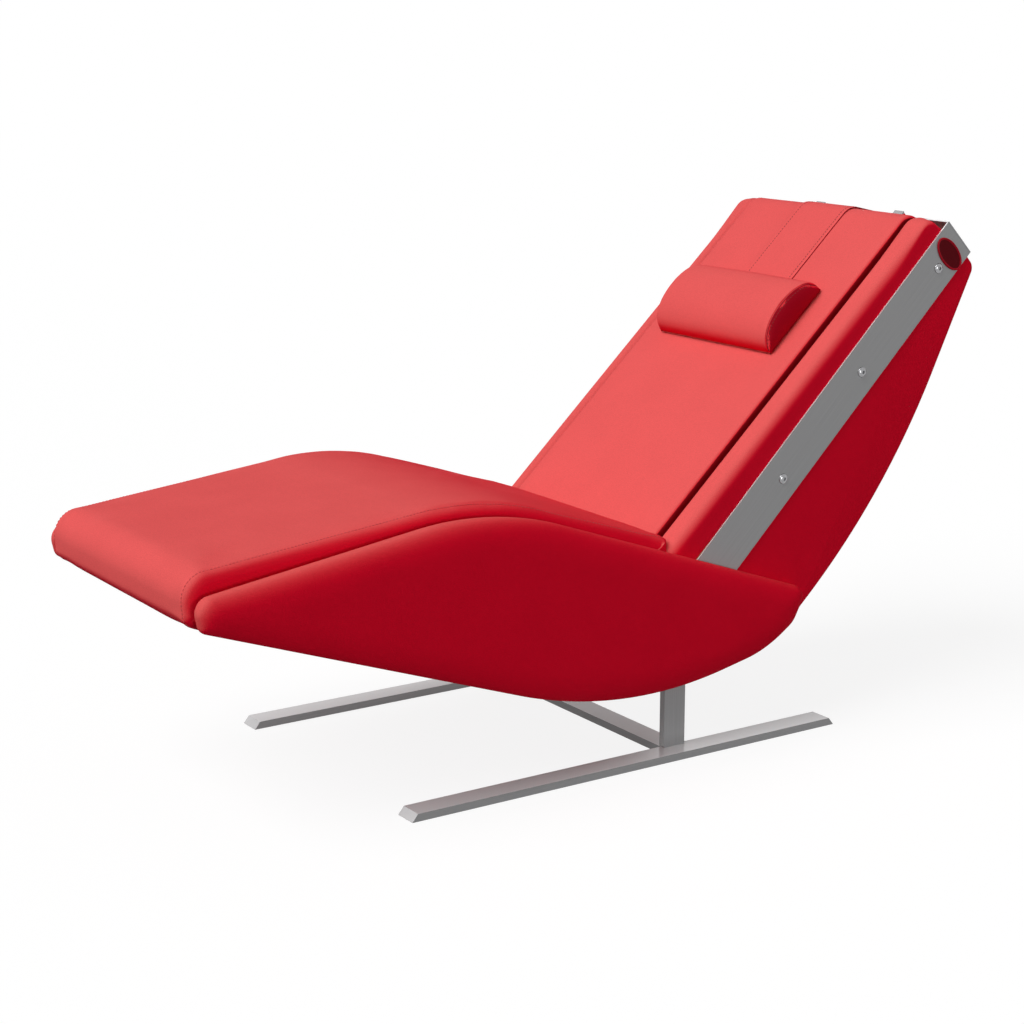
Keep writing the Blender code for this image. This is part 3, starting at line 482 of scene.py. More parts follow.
# %% [markdown]
# ## Meshes
# A cushion is a bent box of four-sided faces: rows along its side view, columns across its
# width, layers from its firm rear to its soft front. Quads in even rows let the cover bend
# smoothly and let a seam follow one row. Other pieces are loops joined like a stack of hoops.


# %% Mesh helpers
def make_piece(name, points, faces, material):
    """A smooth mesh object with its faces turned outward."""
    mesh = bpy.data.meshes.new(name)
    mesh.from_pydata([tuple(map(float, point)) for point in points], [], faces)
    sorter = bmesh.new()
    sorter.from_mesh(mesh)
    bmesh.ops.recalc_face_normals(sorter, faces=sorter.faces)
    sorter.to_mesh(mesh)
    sorter.free()
    mesh.materials.append(material)
    mesh.shade_smooth()
    piece = bpy.data.objects.new(name, mesh)
    bpy.context.scene.collection.objects.link(piece)
    return piece


def bent_box(name, size, place, material):
    """Closed box of quads, rows by columns by layers; also the vertex number of each grid place."""
    rows, columns, layers = size
    numbers = {}
    points = []
    faces = []

    def quad(*corners):
        for corner in corners:
            if corner not in numbers:
                numbers[corner] = len(points)
                points.append(place(*corner))
        faces.append([numbers[corner] for corner in corners])

    for i in range(rows):
        for j in range(columns):
            for l in (0, layers):
                quad((i, j, l), (i + 1, j, l), (i + 1, j + 1, l), (i, j + 1, l))
    for i in range(rows):
        for l in range(layers):
            for j in (0, columns):
                quad((i, j, l), (i + 1, j, l), (i + 1, j, l + 1), (i, j, l + 1))
    for j in range(columns):
        for l in range(layers):
            for i in (0, rows):
                quad((i, j, l), (i, j + 1, l), (i, j + 1, l + 1), (i, j, l + 1))
    return make_piece(name, points, faces, material), numbers


def hoops(name, loops, material):
    """Loops of equal count joined in order, closed at both ends."""
    count = len(loops[0])
    points = [point for loop in loops for point in loop]
    faces = []
    for k in range(len(loops) - 1):
        for i in range(count):
            n = (i + 1) % count
            faces.append((k * count + i, k * count + n, (k + 1) * count + n, (k + 1) * count + i))
    faces.append(tuple(range(count)))
    faces.append(tuple(range(len(points) - count, len(points))))
    return make_piece(name, points, faces, material)


def second_finish(piece, material, chosen):
    """Give the faces that a test picks a second material."""
    piece.data.materials.append(material)
    for polygon in piece.data.polygons:
        if chosen(polygon):
            polygon.material_index = 1


def edge_stations(half, edge, crown, spans, angles):
    """Columns across a cushion as (y, depth): a low crown between two rounded edges."""
    flat = half - edge
    stations = []
    for k in range(-spans, spans + 1):
        share = k / spans
        stations.append((flat * share, crown * share ** 2))
    for degrees in angles:
        angle = math.radians(degrees)
        y = flat + edge * math.sin(angle)
        depth = crown + edge * (1 - math.cos(angle))
        stations.append((y, depth))
        stations.insert(0, (-y, depth))
    return stations


def smooth_step(value, start, end):
    """Zero before start, one after end, with a soft rise between."""
    share = np.clip((value - start) / (end - start), 0, 1)
    return share * share * (3 - 2 * share)


def even(count):
    """Evenly spaced shares from 0 to 1."""
    return [k / count for k in range(count + 1)]


END_TAPER = 0.03
BOW_TAPER = 0.05
DOME_TAPER = 0.04


def end_hold(front):
    """One along a line, falling to zero at both ends."""
    far = reach(front)
    return np.minimum(1.0, np.minimum(far, far[-1] - far) / END_TAPER)


def cushion(name, fronts, rear, stations, shares, place, material, hold=None, end_bow=0.0, dome=0.0):
    """Cushion from one front line per column and a firm rear line; shares lead from rear to front."""
    middle = fronts[len(fronts) // 2]
    hold = end_hold(middle) if hold is None else hold
    inward = [leftward(front) for front in fronts]
    far = reach(middle)
    ends = np.minimum(far, far[-1] - far)
    first = middle[0] - middle[1]
    first /= np.linalg.norm(first)
    last_column = len(stations) - 1

    def spot(i, j, l):
        y, depth = stations[j]
        top = fronts[j][i] + inward[j][i] * depth * hold[i]
        a, b = rear[i] + (top - rear[i]) * shares[l]
        belly = 4 * shares[l] * (1 - shares[l])
        fade = max(0.0, 1 - far[i] / BOW_TAPER)
        a -= first[0] * end_bow * belly * fade
        b -= first[1] * end_bow * belly * fade
        if j in (0, last_column):
            y += math.copysign(dome * belly * min(1.0, ends[i] / DOME_TAPER), y)
        return place(a, y, b)

    return bent_box(name, (len(middle) - 1, last_column, len(shares) - 1), spot, material)


# %% [markdown]
# ## Stuffing
# Foam pushes its cover out between the places where it is sewn down. The cloth solver can do
# this: the cover gets a little air pressure, no gravity, and its rear and ends are held. The
# result is kept as a change of shape, held to a few millimetres and smoothed, so the cover
# stays clear of its neighbours.


# %% Puff a cover with the cloth solver
PUFF_FRAMES = 20
PUFF_PRESSURE = 4.0


def puff(piece, held, limit):
    """Blow a cover up by a limit at most; vertices in held stay where they are."""
    mesh = piece.data
    count = len(mesh.vertices)
    before = np.empty(count * 3)
    mesh.vertices.foreach_get("co", before)
    before = before.reshape(-1, 3)
    group = piece.vertex_groups.new(name="held")
    group.add(sorted(held), 1.0, "REPLACE")
    solver = piece.modifiers.new("stuffing", "CLOTH")
    settings = solver.settings
    settings.quality = 6
    settings.mass = 0.05
    settings.tension_stiffness = 20
    settings.compression_stiffness = 20
    settings.bending_stiffness = 4
    settings.use_pressure = True
    settings.uniform_pressure_force = PUFF_PRESSURE
    settings.vertex_group_mass = group.name
    settings.effector_weights.gravity = 0.0
    solver.point_cache.frame_start = 1
    solver.point_cache.frame_end = PUFF_FRAMES
    scene = bpy.context.scene
    for number in range(1, PUFF_FRAMES + 1):
        scene.frame_set(number)
    shaped = piece.evaluated_get(bpy.context.evaluated_depsgraph_get())
    after = np.array([vertex.co for vertex in shaped.data.vertices])
    piece.modifiers.remove(solver)
    piece.vertex_groups.clear()
    scene.frame_set(1)
    shift = after - before
    size = np.linalg.norm(shift, axis=1)
    shift *= (limit * np.tanh(size / limit) / np.maximum(size, 1e-9))[:, None]
    pairs = np.array([edge.vertices[:] for edge in mesh.edges])
    free = np.ones(count)
    free[sorted(held)] = 0
    for _ in range(3):
        total = np.zeros_like(shift)
        share = np.zeros(count)
        for a, b in ((0, 1), (1, 0)):
            np.add.at(total, pairs[:, a], shift[pairs[:, b]])
            np.add.at(share, pairs[:, a], 1)
        shift = (shift + total / share[:, None]) / 2 * free[:, None]
    mesh.vertices.foreach_set("co", (before + shift).ravel())
    mesh.update()
    return float(np.linalg.norm(shift, axis=1).max())


# %% [markdown]
# ## Seams and stitches
# Where two hides meet, the thread pulls the cover into a narrow groove. One row of vertices
# is pushed in along its normals. Each stitch is a short thread with tapered ends that dips
# into the leather, repeated along the row at an even pitch.


# %% Seam and stitch helpers
PITCH = 0.0070
STITCH_SIDES = 6
STITCH_LENGTH = 0.0050
STITCH_RADIUS = 0.0007


def press(piece, numbers, depth):
    """Push vertices in along their normals."""
    mesh = piece.data
    normals = [mesh.vertices[n].normal.copy() for n in numbers]
    for n, normal in zip(numbers, normals):
        mesh.vertices[n].co -= normal * depth
    mesh.update()


def row_of(piece, numbers):
    """Places and normals of a row of vertices."""
    vertices = [piece.data.vertices[n] for n in numbers]
    return np.array([v.co for v in vertices]), np.array([v.normal for v in vertices])


def stitching(name, rows, material):
    """Rows of stitches as one mesh; each row is (places, normals)."""
    rings = [(-0.5, 0.45, -0.6), (-0.3, 1.0, 0.3), (0.3, 1.0, 0.3), (0.5, 0.45, -0.6)]
    sides = STITCH_SIDES
    points = []
    faces = []
    for places, normals in rows:
        far = reach(places)
        count = max(1, int(far[-1] / PITCH))
        shares = (np.arange(count) + 0.5) / count
        spots = pick(places, shares)
        ups = np.stack([np.interp(shares * far[-1], far, normals[:, k]) for k in range(3)], axis=1)
        ways = pick(places, np.minimum(shares + 0.001, 1)) - pick(places, np.maximum(shares - 0.001, 0))
        for spot, up, way in zip(spots, ups, ways):
            way = way / np.linalg.norm(way)
            up = up - way * (up @ way)
            up = up / np.linalg.norm(up)
            over = np.cross(way, up)
            base = len(points)
            for along, width, rise in rings:
                heart = spot + way * along * STITCH_LENGTH + up * rise * STITCH_RADIUS
                for k in range(sides):
                    angle = 2 * math.pi * k / sides
                    spoke = over * math.cos(angle) + up * math.sin(angle)
                    points.append(heart + spoke * width * STITCH_RADIUS)
            for r in range(len(rings) - 1):
                for k in range(sides):
                    n = (k + 1) % sides
                    low = base + r * sides
                    faces.append((low + k, low + n, low + sides + n, low + sides + k))
            faces.append(tuple(base + k for k in range(sides)))
            faces.append(tuple(base + (len(rings) - 1) * sides + k for k in range(sides)))
    return make_piece(name, points, faces, material)


def settle(piece, body, slot, *replaced):
    """Put a finished piece on its body and in place of CAD nodes; the finish slot is not used."""
    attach(piece, body)
    if replaced:
        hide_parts(*replaced)


def tell(piece, rise):
    """Print how fine a cover is and how far it was puffed."""
    print(piece.name, len(piece.data.vertices), "vertices, puffed", round(rise * 1000, 2), "mm")


# %% [markdown]
# ## Seat cushion
# The seat and the foot rest are one cushion. Its side view starts at the back, bends over
# the knee, rolls over the foot end and stops under the lip. It could be a sculpted block,
# but a line with rounded corners keeps every radius a number. A seam runs along each edge
# round, a third of the way down. Beside the back pad the cushion's rear end is blunt and a
# little longer.

# %% Make the seat cushion
KNEE = (-0.437, 0.5743, 0.640)
FOOT_TOP = (-1.043, 0.5110, 0.057)
FOOT_LOW = (-1.037, 0.4175, 0.028)
LIP = (-0.9813, 0.4016, 0)
UNDER_KNEE = (-0.4444, 0.5032, 0.570)
UNDER_FOOT = (-0.9813, 0.4471, 0)
SEAT_HALF = 0.288
SEAT_EDGE = 0.020
SEAT_CROWN = 0.002
SEAT_LAYERS = 6
SEAT_SEAM = 33.0
SEAT_PUFF = 0.003
SEAT_SLACK = 0.0015
SEAT_SEAM_DEPTH = 0.0003
SEAT_END_BOW = 0.0045
ROLL_START = (-0.985, 0.517)
ROLL_SHARE = 0.97
TIP_EASE = 0.070
TIP_HOLD = 0.40
LIP_EASE = 0.048
SEAM_CLEAR = 0.6

REAR_TIP = (-0.0155, 0.4384, 0.008)
BLUNT_TIP = (-0.0090, 0.4364, 0.010)
BLUNT_LOW = (-0.0120, 0.3950, 0)
REAR_UNDER = (-0.0608, 0.3796, 0)
EAR_FROM = 0.246
EAR_TO = 0.272

below_tip = on_back(0.006, 0, 0.1286)
seat_front = rounded([(below_tip[0], below_tip[2], 0), REAR_TIP, KNEE, FOOT_TOP, FOOT_LOW, LIP])
blunt_front = rounded([BLUNT_LOW, BLUNT_TIP, KNEE, FOOT_TOP, FOOT_LOW, LIP])
seat_rear = rounded([REAR_UNDER, UNDER_KNEE, UNDER_FOOT])

far = reach(seat_front)
knee_far = far[np.argmin(np.abs(seat_front[:, 0] - KNEE[0]))]
roll_far = far[np.argmin(np.linalg.norm(seat_front - np.array(ROLL_START), axis=1))]
rear_far = reach(seat_rear)
under_knee_share = rear_far[np.argmin(np.abs(seat_rear[:, 0] - UNDER_KNEE[0]))] / rear_far[-1]
shares = np.interp(far, [0, knee_far, roll_far, far[-1]], [0, under_knee_share, ROLL_SHARE, 1])
blunt_front = pick(blunt_front, far / far[-1])
from_tip = np.linalg.norm(seat_front - np.array(REAR_TIP[:2]), axis=1) / TIP_EASE
from_lip = np.linalg.norm(seat_front - np.array(LIP[:2]), axis=1) / LIP_EASE
seat_hold = (TIP_HOLD + (1 - TIP_HOLD) * np.minimum(1, from_tip)) * np.minimum(1, from_lip)

seam_angles = (8, 16, 24, 29, 31.5, SEAT_SEAM, 34.5, 37, 46, 56, 67, 78, 90)
seat_columns = edge_stations(SEAT_HALF, SEAT_EDGE, SEAT_CROWN, 18, seam_angles)
seat_columns = [(y, depth + SEAT_SLACK) for y, depth in seat_columns]
seat_fronts = []
for y, _ in seat_columns:
    ear = smooth_step(abs(y), EAR_FROM, EAR_TO)
    seat_fronts.append(seat_front + (blunt_front - seat_front) * ear)
seat, seat_grid = cushion(
    "seat_cushion_cover", seat_fronts, pick(seat_rear, shares), seat_columns, even(SEAT_LAYERS),
    on_seat, seat_leather, hold=seat_hold, end_bow=SEAT_END_BOW,
)
rows = len(seat_front) - 1
held = [n for (i, j, l), n in seat_grid.items() if l < SEAT_LAYERS or i in (0, rows)]
rise = puff(seat, held, SEAT_PUFF)
seam_at = seam_angles[::-1].index(SEAT_SEAM)
seam_start = int(np.argmax(from_tip > SEAM_CLEAR))
seams = []
for j in (seam_at, len(seat_columns) - 1 - seam_at):
    press(seat, [seat_grid[i, j, SEAT_LAYERS] for i in range(seam_start, rows - 1)], SEAT_SEAM_DEPTH)
    inner = j + (2 if j == seam_at else -2)
    seams.append(row_of(seat, [seat_grid[i, inner, SEAT_LAYERS] for i in range(seam_start, rows - 2)]))
# The seat's stitches use the pale thread, painted with light like the seat top.
seat_stitches = stitching("seat_cushion_stitches", seams, lit_copy_thread)
settle(seat, "root", "red_leather", "seat_cushion")
settle(seat_stitches, "root", "red_leather")
tell(seat, rise)

# %% [markdown]
# ## Back pad and bolsters
# Three pads lie on the back's board: a wide one and a narrow bolster on each side that falls
# away to the edge. Their lower ends are round about the pivot, so that the back can turn
# past the seat. The groove between them is the gap between two rounded edges.

# %% Pad helpers
BACK_TOP = 0.8930
PAD_BASE = 0.0491
PAD_FACE = 0.1261
PAD_HALF = 0.2410
PAD_EDGE = 0.008
PAD_ROLL = 0.043
PAD_NOSE = math.radians(38)
BOLSTER_FACE = 0.1190
BOLSTER_FALL = 0.007
BOLSTER_ROLL = 0.040
BOLSTER_IN = 0.2470
BACK_HALF = 0.2952
PAD_LAYERS = 5
PAD_PUFF = 0.001
PAD_SLACK = 0.0005
PAD_CROWN = 0.001
PAD_NOSE_SPANS = 12
PAD_EVEN = 0.02
BOLSTER_PUFF = 0.001
BOLSTER_FULL_TOP = 0.5
BOLSTER_TOP_FADE = 0.16
BOLSTER_INNER_EDGE = 0.003
BOLSTER_INNER_FALL = 0.007
BOLSTER_OUTER_EDGE = 0.023
GROOVE_SHADE_FACING = 0.94


def pad_lines(face, top_round):
    """Front and rear side-view lines of a pad, from the top down."""
    nose = []
    for k in range(PAD_NOSE_SPANS + 1):
        angle = PAD_NOSE * k / PAD_NOSE_SPANS
        nose.append((-face * math.sin(angle), face * math.cos(angle), 0))
    root = PAD_BASE * math.tan(PAD_NOSE)
    end = np.array([-root, PAD_BASE])
    tip = np.array(nose[-1][:2])
    end = end + (tip - end) * 0.2
    front = rounded([(BACK_TOP, PAD_BASE + 0.002, 0), (BACK_TOP, face, top_round), *nose, (*end, 0)])
    rear = np.array([[BACK_TOP, PAD_BASE], [-root, PAD_BASE]])
    far = reach(front)
    top_far = far[np.argmin(np.abs(front[:, 0] - (BACK_TOP - top_round - PAD_EVEN)))]
    low_far = far[np.argmin(np.abs(front[:, 0]))]
    span = BACK_TOP + root
    keys = [0, (top_round + PAD_EVEN) / span, (BACK_TOP - PAD_EVEN) / span, 1]
    return front, pick(rear, np.interp(far, [0, top_far, low_far, far[-1]], keys))


def make_pad(name, node, face, top_round, columns, limit, full_top=1.0):
    """One pad of the back with its puffed cover."""
    front, rear = pad_lines(face, top_round)
    below_top = smooth_step(BACK_TOP - front[:, 0], PAD_EVEN, BOLSTER_TOP_FADE)
    hold = end_hold(front) * (full_top + (1 - full_top) * below_top)
    fronts = [front] * len(columns)
    piece, grid = cushion(name, fronts, rear, columns, even(PAD_LAYERS), on_back, seat_leather, hold=hold)
    last = len(front) - 1
    held = [n for (i, j, l), n in grid.items() if l < PAD_LAYERS - 1 or i < 3 or i > last - 3]
    rise = puff(piece, held, limit)
    settle(piece, "back", "red_leather", node)
    tell(piece, rise)
    return piece


# %% Make the pads
pad_columns = edge_stations(PAD_HALF, PAD_EDGE, PAD_CROWN, 15, (15, 30, 45, 60, 75, 90))
pad_columns = [(y, depth + PAD_SLACK) for y, depth in pad_columns]
pad = make_pad("back_pad_cover", "back_pad", PAD_FACE, PAD_ROLL, pad_columns, PAD_PUFF)
# The walls beside the pad's grooves get the dark edge hide as painted shade.
second_finish(pad, edge_and_shade_leather, lambda polygon: abs(polygon.normal.y) > GROOVE_SHADE_FACING)

bolster_columns = []
for sine, cosine in quarter(6):
    y = BOLSTER_IN + BOLSTER_INNER_EDGE * (1 - cosine)
    bolster_columns.append((y, BOLSTER_INNER_FALL + BOLSTER_INNER_EDGE * (1 - sine)))
flat = BACK_HALF - BOLSTER_OUTER_EDGE - BOLSTER_IN - BOLSTER_INNER_EDGE
for k in range(1, 8):
    share = k / 8
    y = BOLSTER_IN + BOLSTER_INNER_EDGE + flat * share
    fall = BOLSTER_INNER_FALL * (1 - share) ** 3
    bolster_columns.append((y, fall + BOLSTER_FALL * share ** 2))
for sine, cosine in quarter(9):
    y = BACK_HALF - BOLSTER_OUTER_EDGE * (1 - sine)
    bolster_columns.append((y, BOLSTER_FALL + BOLSTER_OUTER_EDGE * (1 - cosine)))
bolster = (BOLSTER_FACE, BOLSTER_ROLL)
for side, sign in SIDES:
    columns = [(sign * y, depth) for y, depth in bolster_columns]
    names = ("bolster_cover_" + side, "bolster_" + side)
    make_pad(*names, *bolster, columns, BOLSTER_PUFF, BOLSTER_FULL_TOP)

# %% [markdown]
# ## Head pillow
# The pillow is a fat roll cut flat where it lies on the strap, and an oval with slightly
# squared shoulders in front. Its two ends are sewn-in pieces that bulge a little, with a
# pressed seam and a row of stitches round each.

# %% Make the pillow
PILLOW_FOOT = 0.472
PILLOW_BASE = 0.1292
PILLOW_LENGTH = 0.1755
PILLOW_HEIGHT = 0.0615
PILLOW_LIFT = 0.012
PILLOW_TUCK = math.radians(13.5)
PILLOW_POWER = 2.1
PILLOW_HALF = 0.180
PILLOW_EDGE = 0.006
PILLOW_DOME = 0.005
PILLOW_CROWN = 0.002
PILLOW_SEAM = 60.0
PILLOW_SEAM_DEPTH = 0.0014
PILLOW_ROWS = 64
PILLOW_PUFF = 0.003
PILLOW_END_SHADE_FACING = 0.9


def on_pillow(a, y, b):
    """Point of the pillow's side view as a place in space."""
    return on_back(PILLOW_FOOT + a, y, PILLOW_BASE + b)


pillow_front = []
for k in range(PILLOW_ROWS + 1):
    angle = (math.pi + 2 * PILLOW_TUCK) * k / PILLOW_ROWS - PILLOW_TUCK
    along = math.copysign(abs(math.cos(angle)) ** (2 / PILLOW_POWER), math.cos(angle))
    rise = math.copysign(abs(math.sin(angle)) ** (2 / PILLOW_POWER), math.sin(angle))
    out = PILLOW_LIFT + (PILLOW_HEIGHT - PILLOW_LIFT) * rise
    pillow_front.append((PILLOW_LENGTH / 2 * (1 + along), max(out, 0.0004)))
pillow_front = np.array(pillow_front)
pillow_base = np.array([[PILLOW_LENGTH, 0.0], [0.0, 0.0]])
pillow_rear = pick(pillow_base, 1 - pillow_front[:, 0] / PILLOW_LENGTH)
pillow_angles = (20, 40, 52, PILLOW_SEAM, 68, 79, 90)
pillow_columns = edge_stations(PILLOW_HALF, PILLOW_EDGE, PILLOW_CROWN, 15, pillow_angles)
pillow_shares = (0, 0.25, 0.5, 0.7, 0.84, 0.925, 0.965, 1)
pillow, pillow_grid = cushion(
    "head_pillow_cover", [pillow_front] * len(pillow_columns), pillow_rear, pillow_columns, pillow_shares,
    on_pillow, seat_leather, dome=PILLOW_DOME,
)
top = len(pillow_shares) - 1
held = [n for (i, j, l), n in pillow_grid.items() if l == 0 or i in (0, PILLOW_ROWS)]
rise = puff(pillow, held, PILLOW_PUFF)
seam_at = pillow_angles[::-1].index(PILLOW_SEAM)
seams = []
for j, end in ((seam_at, 0), (len(pillow_columns) - 1 - seam_at, len(pillow_columns) - 1)):
    press(pillow, [pillow_grid[i, j, top] for i in range(1, PILLOW_ROWS)], PILLOW_SEAM_DEPTH)
    seams.append(row_of(pillow, [pillow_grid[i, end, top - 2] for i in range(2, PILLOW_ROWS - 1)]))
pillow_stitches = stitching("head_pillow_stitches", seams, red_thread)
# The pillow's end pieces get the darker hide as painted shade.
second_finish(pillow, end_shade_leather, lambda polygon: abs(polygon.normal.y) > PILLOW_END_SHADE_FACING)
settle(pillow, "pillow", "red_leather", "head_pillow")
settle(pillow_stitches, "pillow", "red_leather")
tell(pillow, rise)

# %% [markdown]
# ## Side panels
# Each side is a whale-shaped board with a thin pad and stretched leather. The outline is
# carried through rings: tight on the inside, with a pocket where the plywood board lies, and
# soft on the outside. The outer rings close in on a line along the panel's middle, and each
# point's height follows from its distance to the outline, so that the face swells evenly.

# %% Side panel helpers
PANEL_OUT = 0.334
PANEL_IN = 0.3005
PANEL_EDGE = 0.021
PANEL_INNER_EDGE = 0.008
POCKET_DEPTH = 0.0123
POCKET_MARGIN = 0.0157
PANEL_CORNERS = [
    (-1.029, 0.470, 0.030),
    (-1.017, 0.4135, 0.018),
    (-0.142, 0.108, 0.900),
    (0.206, 0.181, 0.260),
    (0.276, 0.228, 0.050),
    (0.311, 0.2930, 0.026),
    (-0.437, 0.5553, 0.640),
]

PANEL_SPINE = np.array([(-0.850, 0.426), (-0.437, 0.376), (-0.142, 0.298), (0.100, 0.262), (0.195, 0.256)])
PANEL_SOFT = 0.058
PANEL_BULGE = 0.004
PANEL_POWER = 2.0
FACE_RINGS = 15
SPINE_SHARE = 0.97
RING_POWER = 1.8
DEPTH_SPANS = 6


def soft_depth(points, path):
    """Distance inside a closed line, with no ridge where two sides are equally near."""
    ends = np.roll(path, -1, axis=0)
    way = ends - path
    offset = points[:, None] - path[None]
    share = np.clip((offset * way).sum(2) / (way * way).sum(1), 0, 1)
    near = np.linalg.norm(offset - share[:, :, None] * way, axis=2).min(1)
    total = np.zeros(len(points))
    for k in range(DEPTH_SPANS):
        middle = path + way * (k + 0.5) / DEPTH_SPANS
        gaps = np.linalg.norm(points[:, None] - middle[None], axis=2)
        total += (np.linalg.norm(way, axis=1) / DEPTH_SPANS / np.maximum(gaps, 0.002) ** 4).sum(1)
    soft = (total / (math.pi / 2)) ** (-1 / 3)
    return near + (np.minimum(soft, near) - near) * smooth_step(near, 0.003, 0.010)


def panel_face(depth):
    """How far out the padded face lies at a depth inside its outline."""
    left = 1 - np.minimum(depth / PANEL_SOFT, 1)
    round_off = (1 - left ** PANEL_POWER) ** (1 / PANEL_POWER)
    return PANEL_OUT + PANEL_BULGE - (PANEL_EDGE + PANEL_BULGE) * (1 - round_off)


# %% Make the side panels
outline = rounded(PANEL_CORNERS, closed=True)
inward = leftward(outline, closed=True)
panel_rings = []
for y in (PANEL_IN + POCKET_DEPTH, PANEL_IN):
    panel_rings.append((outline + inward * POCKET_MARGIN, np.full(len(outline), y)))
for sine, cosine in quarter(4):
    y = PANEL_IN + PANEL_INNER_EDGE * (1 - cosine)
    line = outline + inward * PANEL_INNER_EDGE * (1 - sine)
    panel_rings.append((line, np.full(len(outline), y)))
spine_x = np.clip(outline[:, 0], PANEL_SPINE[0, 0], PANEL_SPINE[-1, 0])
spine = np.stack([spine_x, np.interp(spine_x, PANEL_SPINE[:, 0], PANEL_SPINE[:, 1])], axis=1)
for k in range(FACE_RINGS + 1):
    line = outline + (spine - outline) * SPINE_SHARE * (k / FACE_RINGS) ** RING_POWER
    panel_rings.append((line, panel_face(soft_depth(line, outline) if k else np.zeros(len(line)))))
for side, sign in SIDES:
    loops = []
    for line, across in panel_rings:
        loops.append([on_seat(a, sign * y, b) for (a, b), y in zip(line, across)])
    panel = hoops("side_panel_cover_" + side, loops, panel_leather)
    panel.data.set_sharp_from_angle(angle=math.radians(70))
    settle(panel, "root", "red_leather", "side_pad_" + side)
    print(panel.name, len(panel.data.vertices), "vertices")

# %% [markdown]
# ## Rear cover of the back
# Behind the board the back is a hollow body wrapped in one hide: two cheeks and a bellied
# rear. It is made as one closed form with a recess below for the plywood floor, which stays
# as the CAD made it.

# %% Make the rear cover
SHELL_FRONT = 0.0335
SHELL_TOP = (0.9035, -0.0567, 0.022)
SHELL_BELLY = (0.4157, -0.2426, 1.487)
SHELL_FOOT = (0.1062, -0.2363)
CHEEK_FOOT = 0.020
CHEEK_IN = 0.2832
SHELL_EDGE = 0.007
FLOOR_LIFT = 0.0106
LINING = 0.012
SHELL_SPANS = 6

skin = rounded([(SHELL_TOP[0], SHELL_FRONT, 0), SHELL_TOP, SHELL_BELLY, (*SHELL_FOOT, 0)])
head = np.array([CHEEK_FOOT, SHELL_FRONT])
foot = np.array(SHELL_FOOT)
slope = (head - foot) / np.linalg.norm(head - foot)
into = np.array([slope[1], -slope[0]])
lining = foot + slope * LINING
inward = -leftward(skin)
hold = end_hold(skin)


def shell_loop(y, depth, lift):
    """Side-view loop of the rear cover at one station."""
    line = skin + inward * (depth * hold)[:, None]
    lower = [lining + into * lift, head + into * lift]
    return [on_back(s, y, o) for s, o in [*line, *lower]]


shell_columns = []
for sine, cosine in quarter(5):
    shell_columns.append((BACK_HALF - SHELL_EDGE * (1 - sine), SHELL_EDGE * (1 - cosine)))
loops = [shell_loop(-y, depth, 0.0) for y, depth in shell_columns[::-1]]
loops.append(shell_loop(-CHEEK_IN, 0.0, 0.0))
for k in range(-SHELL_SPANS, SHELL_SPANS + 1):
    loops.append(shell_loop(CHEEK_IN * k / SHELL_SPANS, 0.0, FLOOR_LIFT))
loops.append(shell_loop(CHEEK_IN, 0.0, 0.0))
loops += [shell_loop(y, depth, 0.0) for y, depth in shell_columns]
cover = hoops("back_rear_cover", loops, panel_leather)
cover.data.set_sharp_from_angle(angle=math.radians(50))
settle(cover, "back", "red_leather", "back_shell", "back_cheek_left", "back_cheek_right")
print("rear cover:", len(cover.data.vertices), "vertices")

# %% [markdown]
# ## Strap and counterweight
# A wide strap holds the pillow: it lies on the pad, goes over the top edge and hangs down
# behind with a weighted bag on its end. In the CAD it is one piece of the back. Here it is
# made in two lengths, one in front and one behind, split where it turns over the top.

# %% Make the strap
STRAP_HALF = 0.075
STRAP_THICK = 0.0025
STRAP_FACE = 0.1264
STRIP_LENGTH = 0.9107
STRIP_HALF = 0.0465
STRAP_LOW = PILLOW_FOOT + PILLOW_LENGTH / 6
WEIGHT_DROP = 0.075
STRAP_HANG = WEIGHT_DROP + 0.080
STRAP_BEND = 0.004
STRAP_TURN = 0.024
STRAP_CUT = 0.0009
SKIN_GAP = 0.0003
METAL_GAP = 0.0006
STRAP_STATIONS = [(0.030, 0), (0.058, 0), (0.0635, 0), (0.065, 0.0004), (0.0665, 0), (0.072, 0)]
STRAP_STATIONS += [(0.0743, 0.0004), (STRAP_HALF, 0.0012)]

down = np.array([SHELL_BELLY[0] - SHELL_TOP[0], SHELL_BELLY[1] - SHELL_TOP[1]])
down /= np.linalg.norm(down)
out = np.array([-down[1], down[0]])
rear = np.array(SHELL_TOP[:2]) + out * SKIN_GAP
edge = splayed(STRIP_LENGTH + METAL_GAP, STRIP_HALF + METAL_GAP)
across = splayed(0, -1)
solved = np.linalg.solve(np.stack([across, -down], axis=1), rear - edge)
over = edge + across * solved[0]
hang_end = rear + down * STRAP_HANG

strap_under = rounded([
    (STRAP_LOW, STRAP_FACE, 0),
    (BACK_TOP - PAD_ROLL / 2 + METAL_GAP, STRAP_FACE, PAD_ROLL + SKIN_GAP),
    (*edge, STRAP_BEND),
    (*over, STRAP_TURN),
    (*hang_end, 0),
])
strap_up = strap_under + leftward(strap_under) * STRAP_THICK
split = int(np.argmin(np.linalg.norm(strap_under - (edge + over) / 2, axis=1)))
strap_columns = [(0.0, 0.0)]
for y, depth in STRAP_STATIONS:
    strap_columns.append((y, depth))
    strap_columns.insert(0, (-y, depth))


